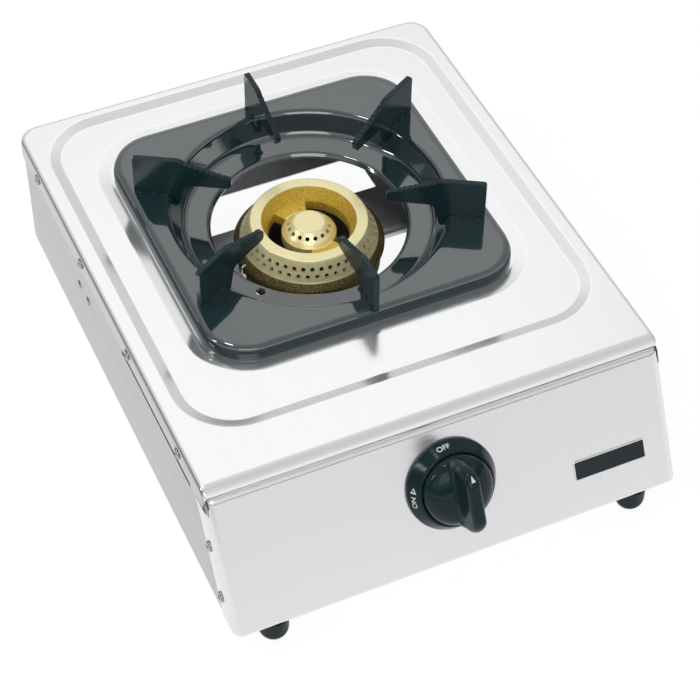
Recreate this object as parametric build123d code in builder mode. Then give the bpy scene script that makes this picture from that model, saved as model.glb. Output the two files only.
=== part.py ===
from build123d import *
from math import acos, asin, atan2, cos, degrees, hypot, radians, sin, sqrt, tan
import os

os.makedirs("parts", exist_ok=True)

# A table-top stove with one burner, in millimetres. +X is its right, +Y its back and +Z up.
# The origin is on the table under the middle of the whole stove. A depth is a distance forward
# from the back edge of the cover, and a drop is a distance down from the cover's border.

# Casing
body_width = 280
body_height = 82
top_depth = 317
front_run = 40.6
crease_drop = 3
foot_height = 16
sheet = 0.8
hem_bend = 2.5
back_corner = 12
hem_height = 12.5
front_bend = 10
cover_overhang = 1.5
lip_drop = 3.8
panel_top_drop = 5
panel_top_bend = 5
panel_bottom_bend = 2
panel_corner = 6
panel_flange = 18
wrap_drop = 2.5
wrap_front_setback = 7.5
seam_gap = 1.2
seam_slot_height = 1.7
seam_slot_length = 108
seam_slot_margin = 24
seat_gap = 0.3
lift_gap = 0.5
overrun = 5

# Pressed forms of the cover
bead_depth = 2.4
bead_slope = 4.5
bead_side_margin = 10
bead_back_margin = 5.5
bead_front_margin = 36.5
bead_corner = 37
well_margin = 9
well_slope = 5
well_depth = 3
well_corner = 39
cover_opening_margin = 11
cover_opening_corner = 24

# Bottom pan
pan_flange = 10
pan_opening_side_margin = 57.6
pan_opening_back = 26.3
pan_opening_front_margin = 121.6
pan_opening_corner = 8
pan_flange_setback = 27.6

# Feet
foot_radius = 8.75
foot_round = 6
foot_flat_radius = 6
foot_recess_radius = 3.8
foot_recess_depth = 6
foot_side_margin = 26
front_foot_margin = 9.6
back_foot_depth = 30

# Drip tray
burner_depth = 137
tray_half = 98
tray_corner = 29
tray_rise = 4.3
tray_shoulder = 5
tray_sheet = 1.2
bowl_radius = 84
bowl_edge_round = 3
bowl_wall_run = 8
bowl_floor_fall = 1.3
bowl_corner_round = 4
tray_hole_radius = 59.7
bowl_drop = 12.8
bowl_lip = 2
drain_radius = 3
drain_angle = -139
drain_place_radius = 66

# Pan support arms
arm_count = 6
arm_first_angle = 30
arm_thickness = 3.5
arm_height = 27.2
arm_reach = 106
arm_short_reach = 97
arm_knee = 79.5
arm_tip = 46.5
arm_tip_height = 14.9
arm_tip_depth = 7
arm_leg = 75
arm_round = 2
weld_gap = 0.1
tooth_pitch = 3.4
tooth_depth = 0.9

# Burner cap, by radius and drop
cap_top_drop = 9
cap_inner_radius = 29
cap_outer_radius = 36
cone_radius = 42
cone_drop = 21.1
skirt_radius = 47.5
skirt_drop = 26
skirt_edge = 1.2
skirt_wall = 3
cap_seat_drop = 25
cap_wall = 2.6
bowl_wall_radius = 25.2
bowl_floor_drop = 18.5
dome_drop = 11
dome_radius = 9.6
dome_shoulder_radius = 15.6
dome_shoulder_drop = 17
dome_base_radius = 16.8
bridge_angle = 52
bridge_turn = 98
bridge_channel = 9
bridge_roof = 2.5
port_radius = 1
port_count = 44
upper_port_drop = 14
lower_port_drop = 18.2
dome_port_count = 16

# Burner base
base_height = 16.7
base_floor = 3
base_gap = 0.5
tube_radius = 10.5
tube_bore = 8
throat_radius = 9
throat_bore = 6
throat_place = 34.5
window_width = 7
window_length = 11
window_front_gap = 4
air_collar_bore = 5.2
tube_end_wall = 3

# Air shutter
shutter_wall = 1.2
shutter_gap = 0.06
shutter_length = 17
shutter_tab = 7

# Crossbar
bar_width = 42
bar_back_shift = 22
bar_sheet = 1.2
bar_edge = 6
bar_bend = 3.5
bar_tab_height = 13
bar_tab_width = 32
bar_rivet_rise = 5.5
bar_rivet_spacing = 15.5
burner_screw_x = 20
burner_screw_back_shift = 27
burner_screw_radius = 2
burner_screw_length = 7
burner_boss_radius = 4.5
burner_boss_height = 6

# Screws and rivets
cover_screw_count = 4
cover_screw_back_margin = 41
cover_screw_front_margin = 39
cover_screw_drop = 6.5
panel_screw_top_drop = 36.7
panel_screw_bottom_rise = 16.9
panel_screw_setback = 12
screw_head_radius = 3.4
screw_head_height = 1.4
screw_radius = 1.5
screw_length = 5
screw_slot_width = 0.8
screw_slot_depth = 0.7
screw_play = 0.15
rivet_head_radius = 3
rivet_head_height = 1
rivet_radius = 1.6

# Knob, dial and badge, along the sloping panel
knob_down = 39.5
bezel_radius = 27.4
bezel_edge = 2
bezel_height = 9.5
bezel_top_radius = 22.6
bezel_floor = 1.5
bezel_hole_radius = 7.5
knob_radius = 20.9
knob_bezel_gap = 0.6
knob_floor_gap = 1.2
knob_body_height = 20
knob_wall = 2
knob_edge_round = 1.6
hub_radius = 6.5
grip_height = 40
grip_top_end = 22
grip_bottom_end = 20.4
grip_crest_end = -6
grip_low_height = 25
grip_width = 10
grip_crest_width = 7.5
grip_round = 2.5
pointer_tip = 19
pointer_length = 4.2
pointer_width = 3.8
pointer_thickness = 0.8
pointer_proud = 0.1
badge_width = 46
badge_height = 12
badge_thickness = 0.8
badge_corner = 1
badge_side_margin = 41.6
badge_down = 59.3

# Gas valve, along the knob's axis behind the panel
push_travel = 3.5
push_play = 0.05
stem_radius = 3
stem_outer_end = 16
stem_flat = 2.1
stem_flat_start = 4
stem_play = 0.1
stem_shoulder = 19
stem_neck_radius = 2.4
tongue_start = 26
tongue_end = 33
tongue_width = 4.4
tongue_thickness = 2.4
tongue_play = 0.15
yoke_face = 10
yoke_plate = 3
yoke_post_x = 14
yoke_post_radius = 4
yoke_rim = 5
yoke_half_height = 10
mount_screw_radius = 2
mount_head_radius = 3.6
mount_head_height = 1.6
mount_screw_length = 10
bracket_plate = 1.2
valve_radius = 11.5
valve_length = 34
spring_chamber_radius = 6.3
plug_start = 30
plug_radius = 5
plug_gap = 0.05
plug_length = 12
plug_slot_depth = 7
plug_chamber = 3
plug_way_radius = 1
plug_low_way_radius = 0.5
valve_screw_x = 7.5
valve_screw_y = 7
washer_thickness = 1.2
washer_gap = 0.3
spring_wire = 0.9
spring_turns = 4
outlet_station = 34
outlet_radius = 7
outlet_length = 25.8
inlet_station = 39.5
inlet_radius = 6.5
inlet_end_x = 30

# Jet, pipe and hose inlet
jet_shank_radius = 5
jet_hex = 11
jet_hex_length = 5
jet_bore = 1
jet_socket_depth = 6
jet_gap = 15
jet_nose_entry = 6
pipe_radius = 5
pipe_bore = 4
pipe_bend = 22
pipe_side_margin = 35
pipe_socket_depth = 9
pipe_gap = 0.1
nut_across_flats = 18
nut_length = 12
nut_gap = 0.15
nut_grip = 7.5
nipple_reach = 24
nipple_hex = 19
nipple_hex_length = 5
nipple_shank_radius = 6.5
nipple_shank_length = 16
nipple_radius = 4.75
nipple_ridge_radius = 5.4
nipple_ridge_length = 3.6
nipple_ridge_count = 3
nipple_tip_length = 6
nipple_bore = 2.8
nipple_hole_play = 0.3
lock_nut_length = 4.5

# Igniter
igniter_x = -27
igniter_radius = 7
igniter_neck_radius = 5.5
igniter_shoulder = 1.5
igniter_length = 36
igniter_tail_radius = 2.5
igniter_tail_length = 5
bracket_edge = 3
electrode_x = -50.5
electrode_forward = 15
insulator_radius = 2.6
insulator_top_drop = 24
insulator_length = 28
collar_radius = 4
collar_height = 4
electrode_radius = 0.8
electrode_top_drop = 16.5
electrode_sunk = 8
electrode_bend = 1.6
electrode_hook = 3
electrode_play = 0.1
strip_width = 9
strip_sheet = 1.2
strip_screw_forward = 9
strip_screw_radius = 1.5
strip_screw_head_radius = 2.8
strip_screw_head_height = 1.2
strip_screw_length = 4
lead_radius = 1.25
lead_sag = 73
lead_wave = 5
lead_bend = 12.5
lead_shares = [0.25, 0.5, 0.75]

# Places that follow from the sizes above
lean = atan2(front_run, body_height - crease_drop)
lean_sin = sin(lean)
lean_cos = cos(lean)
knob_reach = lean_sin * (knob_down - grip_crest_end) + lean_cos * grip_height
front_reach = top_depth + knob_reach
back_y = (front_reach - nipple_reach) / 2
top_z = foot_height + body_height
bottom_z = foot_height
half_width = body_width / 2
hem_bottom_z = top_z - hem_height
front_bottom_depth = top_depth + front_run
cover_front_depth = top_depth + cover_overhang
seam_slot_end = top_depth - seam_slot_margin
seam_slot_start = seam_slot_end - seam_slot_length
bead_front = top_depth - bead_front_margin
well_half = tray_half + well_margin
cover_opening_half = tray_half - cover_opening_margin
pan_opening_half_width = half_width - pan_opening_side_margin
pan_opening_front = front_bottom_depth - pan_opening_front_margin
pan_flange_front = front_bottom_depth - pan_flange_setback
foot_x = half_width - foot_side_margin
front_foot_depth = front_bottom_depth - front_foot_margin
badge_x = half_width - badge_side_margin
pipe_x = half_width - pipe_side_margin
bar_centre_depth = burner_depth - bar_back_shift
knob_start = bezel_floor + push_travel + knob_floor_gap
burner_screw_depth = burner_depth - burner_screw_back_shift
strip_screw_depth = bar_centre_depth + strip_screw_forward
cover_screw_run = top_depth - cover_screw_back_margin - cover_screw_front_margin
cover_screw_pitch = cover_screw_run / (cover_screw_count - 1)
cover_screw_depths = [cover_screw_back_margin + i * cover_screw_pitch for i in range(cover_screw_count)]
panel_screw_drops = [panel_screw_top_drop, body_height - panel_screw_bottom_rise]
wrap_inset = sheet + seat_gap
wrap_top_z = top_z - wrap_drop
wrap_inner = wrap_inset + sheet
pan_inset = wrap_inner + seat_gap
inner_top_z = top_z - bead_depth
well_floor_z = inner_top_z - well_depth
tray_top_z = top_z + tray_rise
bar_top_z = top_z - cap_seat_drop - seat_gap - base_height
burner_y = back_y - burner_depth


def at_depth(depth):
    """Y of a place so far forward from the cover's back edge."""
    return back_y - depth


def at_drop(drop):
    """Z of a place so far below the cover's border."""
    return top_z - drop


def slope_depth(drop):
    """Depth of the sloping panel's outer face at a drop."""
    return top_depth + (drop - crease_drop) * front_run / (body_height - crease_drop)


crease_plane = Plane(
    origin=(0, at_depth(top_depth), at_drop(crease_drop)), x_dir=(1, 0, 0), z_dir=(0, -lean_cos, lean_sin)
)
knob_plane = Plane(
    origin=(0, at_depth(top_depth + lean_sin * knob_down), at_drop(crease_drop + lean_cos * knob_down)),
    x_dir=(1, 0, 0),
    z_dir=(0, -lean_cos, lean_sin),
)
burner_plane = Plane(origin=(0, burner_y, top_z))
burner_section = Plane(origin=(0, burner_y, top_z), x_dir=(1, 0, 0), z_dir=(0, -1, 0))
burner_axis = Axis((0, burner_y, 0), (0, 0, 1))
knob_y = knob_plane.origin.Y
knob_z = knob_plane.origin.Z
tube_y_start = burner_y - throat_place
outlet_y = knob_y + lean_cos * outlet_station
outlet_z = knob_z - lean_sin * outlet_station
inlet_y = knob_y + lean_cos * inlet_station
inlet_z = knob_z - lean_sin * inlet_station
outlet_end_y = outlet_y + outlet_length
tube_front_y = outlet_end_y + jet_gap
tube_z = outlet_z


def knob_level(height):
    """Plane across the knob's axis, so far out of the panel. Inward is negative."""
    return knob_plane.offset(height)


def wedge_points(inset, back_extra):
    """Side outline of the front panel, sunk by inset and run on at its back by back_extra."""
    shift = inset / lean_cos
    top = panel_top_drop + inset
    bottom = body_height - inset
    back = panel_flange + back_extra
    return [
        (at_depth(slope_depth(top) - shift), at_drop(top)),
        (at_depth(slope_depth(bottom) - shift), at_drop(bottom)),
        (at_depth(slope_depth(bottom) - back), at_drop(bottom)),
        (at_depth(slope_depth(top) - back), at_drop(top)),
    ]


def cover_form(inset):
    """The block that the cover wraps, sunk by inset, with its pressed bead and well."""
    margin = overrun if inset else 0
    with BuildPart() as form:
        with BuildSketch(Plane.XY.offset(hem_bottom_z - margin)):
            with Locations((0, at_depth(cover_front_depth / 2))):
                Rectangle(body_width - 2 * inset, cover_front_depth - 2 * inset)
        extrude(amount=hem_height + margin - inset)
        back_edges = form.edges().filter_by(Axis.Z).group_by(Axis.Y)[-1]
        fillet(back_edges, back_corner - inset)
        front_edge = form.faces().sort_by(Axis.Z)[-1].edges().sort_by(Axis.Y)[0]
        fillet(front_edge, front_bend - inset)
        rim = form.faces().filter_by(Axis.Z).sort_by(Axis.Z)[-1].edges().filter_by(
            lambda edge: edge.center().Y > at_depth(cover_front_depth - front_bend) + inset
        )
        fillet(rim, hem_bend - inset)
        bead_centre = (bead_back_margin + bead_front) / 2
        bead_length = bead_front - bead_back_margin
        bead_width = body_width - 2 * bead_side_margin
        for level, slope in ((0, 0), (bead_depth, bead_slope)):
            with BuildSketch(Plane.XY.offset(top_z - inset - level)):
                with Locations((0, at_depth(bead_centre))):
                    RectangleRounded(bead_width - 2 * slope, bead_length - 2 * slope, bead_corner - slope)
        loft(mode=Mode.SUBTRACT)
        for level, slope in ((0, 0), (well_depth, well_slope)):
            with BuildSketch(Plane.XY.offset(inner_top_z - inset - level)):
                with Locations((0, burner_y)):
                    RectangleRounded(2 * (well_half - slope), 2 * (well_half - slope), well_corner - slope)
        loft(mode=Mode.SUBTRACT)
    return form.part


def panel_form(inset):
    """The wedge that the front panel wraps, sunk by inset."""
    with BuildPart() as form:
        with BuildSketch(Plane.YZ):
            with BuildLine():
                Polyline(*wedge_points(inset, overrun if inset else 0), close=True)
            make_face()
        extrude(amount=half_width - inset, both=True)
        face = form.faces().sort_by(Axis((0, 0, 0), (0, -lean_cos, lean_sin)))[-1]
        fillet(face.edges().filter_by(Axis.X, reverse=True), panel_corner - inset)
        crown = form.edges().filter_by(Axis.X).group_by(Axis.Z)[-1].sort_by(Axis.Y)[0]
        fillet(crown, panel_top_bend - inset)
        toe = form.edges().filter_by(Axis.X).group_by(Axis.Z)[0].sort_by(Axis.Y)[0]
        fillet(toe, panel_bottom_bend - inset)
    return form.part


def wrap_form(inset, bottom, top):
    """An upright block with round back corners, sunk by inset from the casing's outline."""
    depth = front_bottom_depth + overrun
    with BuildPart() as form:
        with BuildSketch(Plane.XY.offset(bottom)):
            with Locations((0, at_depth((depth + inset) / 2))):
                Rectangle(body_width - 2 * inset, depth - inset)
        extrude(amount=top - bottom)
        fillet(form.edges().filter_by(Axis.Z).group_by(Axis.Y)[-1], back_corner - inset)
    return form.part


def tray_form(inset):
    """The block that the drip tray's flat top and walls wrap, sunk by inset."""
    margin = overrun if inset else 0
    floor_z = well_floor_z + seat_gap - margin
    with BuildPart() as form:
        with BuildSketch(Plane.XY.offset(floor_z)):
            with Locations((0, burner_y)):
                RectangleRounded(2 * (tray_half - inset), 2 * (tray_half - inset), tray_corner - inset)
        extrude(amount=tray_top_z - inset - floor_z)
        fillet(form.faces().sort_by(Axis.Z)[-1].edges(), tray_shoulder - inset)
    return form.part


def side_places(depths, drops, x):
    """Planes on both sides of the casing at depths and drops, facing outward."""
    return [
        Plane(origin=(side * x, at_depth(depth), at_drop(drop)), x_dir=(0, side, 0), z_dir=(side, 0, 0))
        for side in (-1, 1)
        for depth, drop in zip(depths, drops)
    ]


def drill(radius, reach):
    """A hole through what lies under the current places, reach to each side."""
    Cylinder(radius, 2 * reach, mode=Mode.SUBTRACT)


def screw_body(head_radius, head_height, radius, length):
    """A pan head with a cross recess, standing on z = 0, over a shank."""
    with BuildPart() as screw:
        with BuildSketch(Plane.XZ):
            with BuildLine():
                Line((0, -length), (radius, -length))
                Line((radius, -length), (radius, 0))
                Line((radius, 0), (head_radius, 0))
                Line((head_radius, 0), (head_radius, head_height / 2))
                ThreePointArc(
                    (head_radius, head_height / 2),
                    (head_radius * cos(radians(35)), head_height * cos(radians(25))),
                    (head_radius / 2, head_height),
                )
                Line((head_radius / 2, head_height), (0, head_height))
                Line((0, head_height), (0, -length))
            make_face()
        revolve(axis=Axis.Z)
        with Locations((0, 0, head_height)):
            Box(head_radius, screw_slot_width, 2 * screw_slot_depth, mode=Mode.SUBTRACT)
            Box(screw_slot_width, head_radius, 2 * screw_slot_depth, mode=Mode.SUBTRACT)
    return screw.part


def hexagon(across_flats):
    """A hexagon measured across its flats."""
    RegularPolygon(across_flats / 2, 6, major_radius=False)


pan_screw = screw_body(screw_head_radius, screw_head_height, screw_radius, screw_length)
panel_screw_depths = [slope_depth(drop) - panel_screw_setback for drop in panel_screw_drops]
cover_screw_drops = [cover_screw_drop] * len(cover_screw_depths)
rivet_depths = [bar_centre_depth - bar_rivet_spacing / 2, bar_centre_depth + bar_rivet_spacing / 2]
rivet_z = bar_top_z + bar_rivet_rise
rivet_drops = [top_z - rivet_z] * len(rivet_depths)
cover_screw_places = side_places(cover_screw_depths, cover_screw_drops, half_width)
panel_screw_places = side_places(panel_screw_depths, panel_screw_drops, half_width)
rivet_places = side_places(rivet_depths, rivet_drops, half_width - wrap_inset)
mount_places = [(-yoke_post_x, 0), (yoke_post_x, 0)]
inlet_plane = Plane(origin=(pipe_x, back_y, inlet_z), x_dir=(1, 0, 0), z_dir=(0, 1, 0))
foot_places = {
    "front_left": (-foot_x, at_depth(front_foot_depth)),
    "front_right": (foot_x, at_depth(front_foot_depth)),
    "back_left": (-foot_x, at_depth(back_foot_depth)),
    "back_right": (foot_x, at_depth(back_foot_depth)),
}

# Top cover: the block's skin, without its bottom and the front wall below the lip.
with BuildPart() as top_cover:
    add(cover_form(0))
    add(cover_form(sheet), mode=Mode.SUBTRACT)
    with Locations((0, at_depth(cover_front_depth), at_drop(lip_drop + hem_height))):
        Box(body_width - 2 * sheet, 2 * front_bend, 2 * hem_height, mode=Mode.SUBTRACT)
    with BuildSketch(Plane.XY.offset(well_floor_z)):
        with Locations((0, burner_y)):
            RectangleRounded(2 * cover_opening_half, 2 * cover_opening_half, cover_opening_corner)
    extrude(amount=overrun, both=True, mode=Mode.SUBTRACT)
    with Locations(*cover_screw_places):
        drill(screw_radius + screw_play, overrun)
top_cover.part.label = "top_cover"

# Front panel: the wedge's skin, open at its back, cleared beside the cover's hems.
with BuildPart() as front_panel:
    add(panel_form(0))
    add(panel_form(sheet), mode=Mode.SUBTRACT)
    with Locations((-half_width, 0, 0), (half_width, 0, 0)):
        with Locations((0, at_depth(cover_front_depth + lift_gap - panel_flange), hem_bottom_z - seam_gap)):
            Box(
                2 * wrap_inner + 2 * lift_gap,
                2 * panel_flange,
                hem_height + seam_gap,
                align=(Align.CENTER, Align.CENTER, Align.MIN),
                mode=Mode.SUBTRACT,
            )
    with Locations(*panel_screw_places):
        drill(screw_radius + screw_play, overrun)
    with Locations(knob_plane):
        drill(stem_radius + 2 * sheet, overrun)
        with Locations(*mount_places):
            drill(mount_screw_radius + screw_play, overrun)
    with Locations(*[(x, at_depth(front_foot_depth), bottom_z) for x in (-foot_x, foot_x)]):
        drill(screw_radius + screw_play, overrun)
front_panel.part.label = "front_panel"

# Casing wrap: one sheet round the back corners, cut parallel to the front panel.
pan_floor_end = slope_depth(body_height) - panel_flange - lift_gap
with BuildPart() as casing_wrap:
    add(wrap_form(wrap_inset, bottom_z, wrap_top_z))
    add(wrap_form(wrap_inner, bottom_z - overrun, wrap_top_z + overrun), mode=Mode.SUBTRACT)
    with BuildSketch(Plane.YZ):
        with BuildLine():
            low_depth = slope_depth(body_height + 2 * overrun) - wrap_front_setback
            high_depth = slope_depth(0) - wrap_front_setback
            far_depth = front_bottom_depth + 2 * overrun
            Polyline(
                (at_depth(high_depth), at_drop(0)),
                (at_depth(low_depth), at_drop(body_height + 2 * overrun)),
                (at_depth(far_depth), at_drop(body_height + 2 * overrun)),
                (at_depth(far_depth), at_drop(0)),
                close=True,
            )
        make_face()
    extrude(amount=half_width, both=True, mode=Mode.SUBTRACT)
    with Locations((0, at_depth(pan_floor_end), bottom_z)):
        Box(
            body_width,
            2 * panel_flange,
            2 * (sheet + lift_gap),
            align=(Align.CENTER, Align.MAX, Align.CENTER),
            mode=Mode.SUBTRACT,
        )
    slot_centre = (seam_slot_start + seam_slot_end) / 2
    with Locations((0, at_depth(slot_centre), hem_bottom_z - seam_slot_height / 2)):
        Box(body_width, seam_slot_end - seam_slot_start, seam_slot_height, mode=Mode.SUBTRACT)
    with Locations(*cover_screw_places, *panel_screw_places):
        drill(screw_radius + screw_play, overrun)
    with Locations(*rivet_places):
        drill(rivet_radius + screw_play, overrun)
    with Locations(inlet_plane):
        drill(nipple_shank_radius + nipple_hole_play, overrun)
casing_wrap.part.label = "casing_wrap"

# Bottom pan: floor with upturned flanges and a front strip that laps the front panel's flange.
pan_lap_end = pan_floor_end + panel_flange / 2
with BuildPart() as bottom_pan:
    add(wrap_form(pan_inset, bottom_z, bottom_z + pan_flange))
    add(wrap_form(pan_inset + sheet, bottom_z + sheet, bottom_z + pan_flange + overrun), mode=Mode.SUBTRACT)
    with Locations((0, at_depth(pan_flange_front), bottom_z + sheet)):
        Box(body_width, 2 * panel_flange, pan_flange, align=(Align.CENTER, Align.MAX, Align.MIN), mode=Mode.SUBTRACT)
    with Locations((0, at_depth(pan_flange_front + 2 * panel_flange), bottom_z - overrun)):
        Box(
            body_width,
            2 * panel_flange,
            pan_flange + 2 * overrun,
            align=(Align.CENTER, Align.MAX, Align.MIN),
            mode=Mode.SUBTRACT,
        )
    with Locations((0, at_depth(pan_floor_end), bottom_z - overrun)):
        Box(
            body_width,
            3 * panel_flange,
            sheet + overrun,
            align=(Align.CENTER, Align.MAX, Align.MIN),
            mode=Mode.SUBTRACT,
        )
    lap_length = pan_lap_end - pan_floor_end + panel_flange / 4
    with Locations((0, at_depth(pan_lap_end), bottom_z + sheet)):
        Box(
            body_width - 2 * (panel_corner + wrap_inner),
            lap_length,
            sheet,
            align=(Align.CENTER, Align.MIN, Align.MIN),
        )
    opening_length = pan_opening_front - pan_opening_back
    with BuildSketch(Plane.XY.offset(bottom_z)):
        with Locations((0, at_depth((pan_opening_front + pan_opening_back) / 2))):
            RectangleRounded(2 * pan_opening_half_width, opening_length, pan_opening_corner)
    extrude(amount=overrun, both=True, mode=Mode.SUBTRACT)
    with Locations(*[(x, y, bottom_z) for x, y in foot_places.values()]):
        drill(screw_radius + screw_play, overrun)
bottom_pan.part.label = "bottom_pan"

# Crossbar: a channel across the casing with upturned tabs, which carries the burner.
bar_length = body_width - 2 * wrap_inner


def bar_form(inset, margin):
    """The block that the crossbar wraps, sunk by inset and run on past its ends by margin."""
    with BuildPart() as form:
        with Locations((0, at_depth(bar_centre_depth), bar_top_z - inset)):
            Box(
                bar_length + 2 * margin,
                bar_width - 2 * inset,
                bar_edge + margin - inset,
                align=(Align.CENTER, Align.CENTER, Align.MAX),
            )
        fillet(form.faces().sort_by(Axis.Z)[-1].edges().filter_by(Axis.X), bar_bend - inset)
    return form.part


with BuildPart() as burner_crossbar:
    add(bar_form(0, 0))
    add(bar_form(bar_sheet, overrun), mode=Mode.SUBTRACT)
    for side in (-1, 1):
        with Locations((side * bar_length / 2, at_depth(bar_centre_depth), bar_top_z - bar_sheet)):
            Box(
                bar_sheet,
                bar_tab_width,
                bar_tab_height + bar_sheet,
                align=(Align.MIN if side < 0 else Align.MAX, Align.CENTER, Align.MIN),
            )
    with Locations(*rivet_places):
        drill(rivet_radius + screw_play, overrun)
    with Locations((-burner_screw_x, at_depth(burner_screw_depth), bar_top_z)):
        drill(burner_screw_radius + screw_play, overrun)
    with Locations((burner_screw_x, at_depth(burner_screw_depth), bar_top_z)):
        drill(burner_screw_radius + screw_play, overrun)
    with Locations((electrode_x, at_depth(strip_screw_depth), bar_top_z)):
        drill(strip_screw_radius + screw_play, overrun)
burner_crossbar.part.label = "burner_crossbar"

# Screws of the cover and the front panel, and rivets of the crossbar.
with BuildPart() as cover_screws:
    with Locations(*cover_screw_places):
        add(pan_screw)
cover_screws.part.label = "cover_screws"

with BuildPart() as front_panel_screws:
    with Locations(*panel_screw_places):
        add(pan_screw)
front_panel_screws.part.label = "front_panel_screws"

with BuildPart() as rivet:
    with BuildSketch(Plane.XZ):
        with BuildLine():
            Line((0, -sheet - bar_sheet - rivet_head_height), (rivet_radius, -sheet - bar_sheet - rivet_head_height))
            Line((rivet_radius, -sheet - bar_sheet - rivet_head_height), (rivet_radius, 0))
            Line((rivet_radius, 0), (rivet_head_radius, 0))
            RadiusArc(
                (rivet_head_radius, 0),
                (0, rivet_head_height),
                -(rivet_head_radius**2 + rivet_head_height**2) / (2 * rivet_head_height),
            )
            Line((0, rivet_head_height), (0, -sheet - bar_sheet - rivet_head_height))
        make_face()
    revolve(axis=Axis.Z)

with BuildPart() as crossbar_rivets:
    with Locations(*rivet_places):
        add(rivet.part)
crossbar_rivets.part.label = "crossbar_rivets"

# Feet: round pads with a screw recess, under the pan and the front panel's flange.
with BuildPart() as foot:
    with BuildSketch(Plane.XZ):
        with BuildLine():
            Line((foot_recess_radius, 0), (foot_flat_radius, 0))
            TangentArc((foot_radius, foot_round), (foot_flat_radius, 0), tangent=(0, -1), tangent_from_first=True)
            Line((foot_radius, foot_round), (foot_radius, foot_height))
            Line((foot_radius, foot_height), (screw_radius + screw_play, foot_height))
            Line((screw_radius + screw_play, foot_height), (screw_radius + screw_play, foot_recess_depth))
            Line((screw_radius + screw_play, foot_recess_depth), (foot_recess_radius, foot_recess_depth))
            Line((foot_recess_radius, foot_recess_depth), (foot_recess_radius, 0))
        make_face()
    revolve(axis=Axis.Z)

feet = {}
for place_name, (x, y) in foot_places.items():
    feet[f"foot_{place_name}"] = foot.part.moved(Location((x, y, 0)))

foot_screw_length = foot_height - foot_recess_depth + 3 * sheet
foot_screw = screw_body(screw_head_radius, screw_head_height, screw_radius, foot_screw_length)
with BuildPart() as foot_screws:
    for x, y in foot_places.values():
        with Locations(Plane(origin=(x, y, foot_recess_depth), x_dir=(1, 0, 0), z_dir=(0, 0, -1))):
            add(foot_screw)
foot_screws.part.label = "foot_screws"

# Drip tray: flat square top with round shoulders, and a bowl with a steep wall and a nearly level
# floor round the burner hole.
lip_radius = tray_hole_radius + bowl_lip
lip_drop_place = bowl_drop - bowl_lip
bowl_foot_radius = bowl_radius - bowl_wall_run
bowl_foot_drop = lip_drop_place - bowl_floor_fall
wall_slope = atan2(bowl_foot_drop + tray_rise, bowl_wall_run)
floor_slope = atan2(bowl_floor_fall, bowl_foot_radius - lip_radius)
wall_skin = tray_sheet / cos(wall_slope)
floor_skin = tray_sheet / cos(floor_slope)
corner_shift = tray_sheet / cos((wall_slope - floor_slope) / 2)
under_foot_radius = bowl_foot_radius + corner_shift * sin((wall_slope + floor_slope) / 2)
under_foot_drop = bowl_foot_drop + corner_shift * cos((wall_slope + floor_slope) / 2)
with BuildPart() as drip_tray:
    add(tray_form(0))
    add(tray_form(tray_sheet), mode=Mode.SUBTRACT)
    with Locations((0, burner_y, tray_top_z)):
        drill(bowl_radius, overrun)
    with BuildSketch(burner_section):
        with BuildLine():
            FilletPolyline(
                (bowl_radius, tray_rise),
                (bowl_foot_radius, -bowl_foot_drop),
                (lip_radius, -lip_drop_place),
                radius=bowl_corner_round,
            )
            Polyline(
                (lip_radius, -lip_drop_place),
                (tray_hole_radius, -bowl_drop),
                (tray_hole_radius, -bowl_drop - floor_skin),
                (lip_radius, -bowl_drop - floor_skin),
                (lip_radius, -lip_drop_place - floor_skin),
            )
            FilletPolyline(
                (lip_radius, -lip_drop_place - floor_skin),
                (under_foot_radius, -under_foot_drop),
                (bowl_radius, tray_rise - wall_skin),
                radius=bowl_corner_round + tray_sheet,
            )
            Line((bowl_radius, tray_rise - wall_skin), (bowl_radius, tray_rise))
        make_face()
    revolve(axis=burner_axis)
    bowl_rim = drip_tray.edges().filter_by(GeomType.CIRCLE).filter_by(
        lambda edge: abs(edge.radius - bowl_radius) < seat_gap
    )
    fillet(bowl_rim.sort_by(Axis.Z)[-1], bowl_edge_round)
    drain_x = drain_place_radius * cos(radians(drain_angle))
    drain_y = burner_y + drain_place_radius * sin(radians(drain_angle))
    with Locations((drain_x, drain_y, top_z)):
        drill(drain_radius, tray_rise + 2 * bowl_drop)
drip_tray.part.label = "drip_tray"


def bowl_height(radius):
    """Height of the bowl's wall over the cover's border at a radius."""
    return tray_rise - (bowl_radius - radius) * tan(wall_slope)


def arm_outline(reach):
    """Side outline of a pan support arm, by radius and height over the cover's border."""
    top = tray_rise + arm_height
    tip_top = tray_rise + arm_tip_height
    tip_low = tip_top - arm_tip_depth
    slope_length = hypot(arm_knee - arm_tip, top - tip_top)
    along = ((arm_tip - arm_knee) / slope_length, (tip_top - top) / slope_length)
    tooth_count = int((slope_length - 2 * arm_tip_depth) / tooth_pitch)
    points = [(reach, tray_rise), (reach, top), (arm_knee, top)]
    for tooth in range(tooth_count):
        start = (tooth + 1) * tooth_pitch
        points.append((arm_knee + along[0] * start, top + along[1] * start))
        valley = start + tooth_pitch / 2
        points.append(
            (
                arm_knee + along[0] * valley - along[1] * tooth_depth,
                top + along[1] * valley + along[0] * tooth_depth,
            )
        )
    points.append((arm_tip + arm_tip_depth / 2, tip_top + arm_tip_depth * along[1] / (2 * along[0])))
    points.append((arm_tip, tip_top - arm_tip_depth / 2))
    points.append((arm_tip + arm_tip_depth / 2, tip_low))
    points.append((arm_leg - arm_tip_depth / 2, tip_low))
    points.append((arm_leg, tip_low - arm_tip_depth / 2))
    points.append((arm_leg + 2 * arm_round, bowl_height(arm_leg + 2 * arm_round) + weld_gap))
    points.append((bowl_radius, tray_rise + weld_gap))
    points.append((bowl_radius + weld_gap, tray_rise))
    return points


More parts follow.
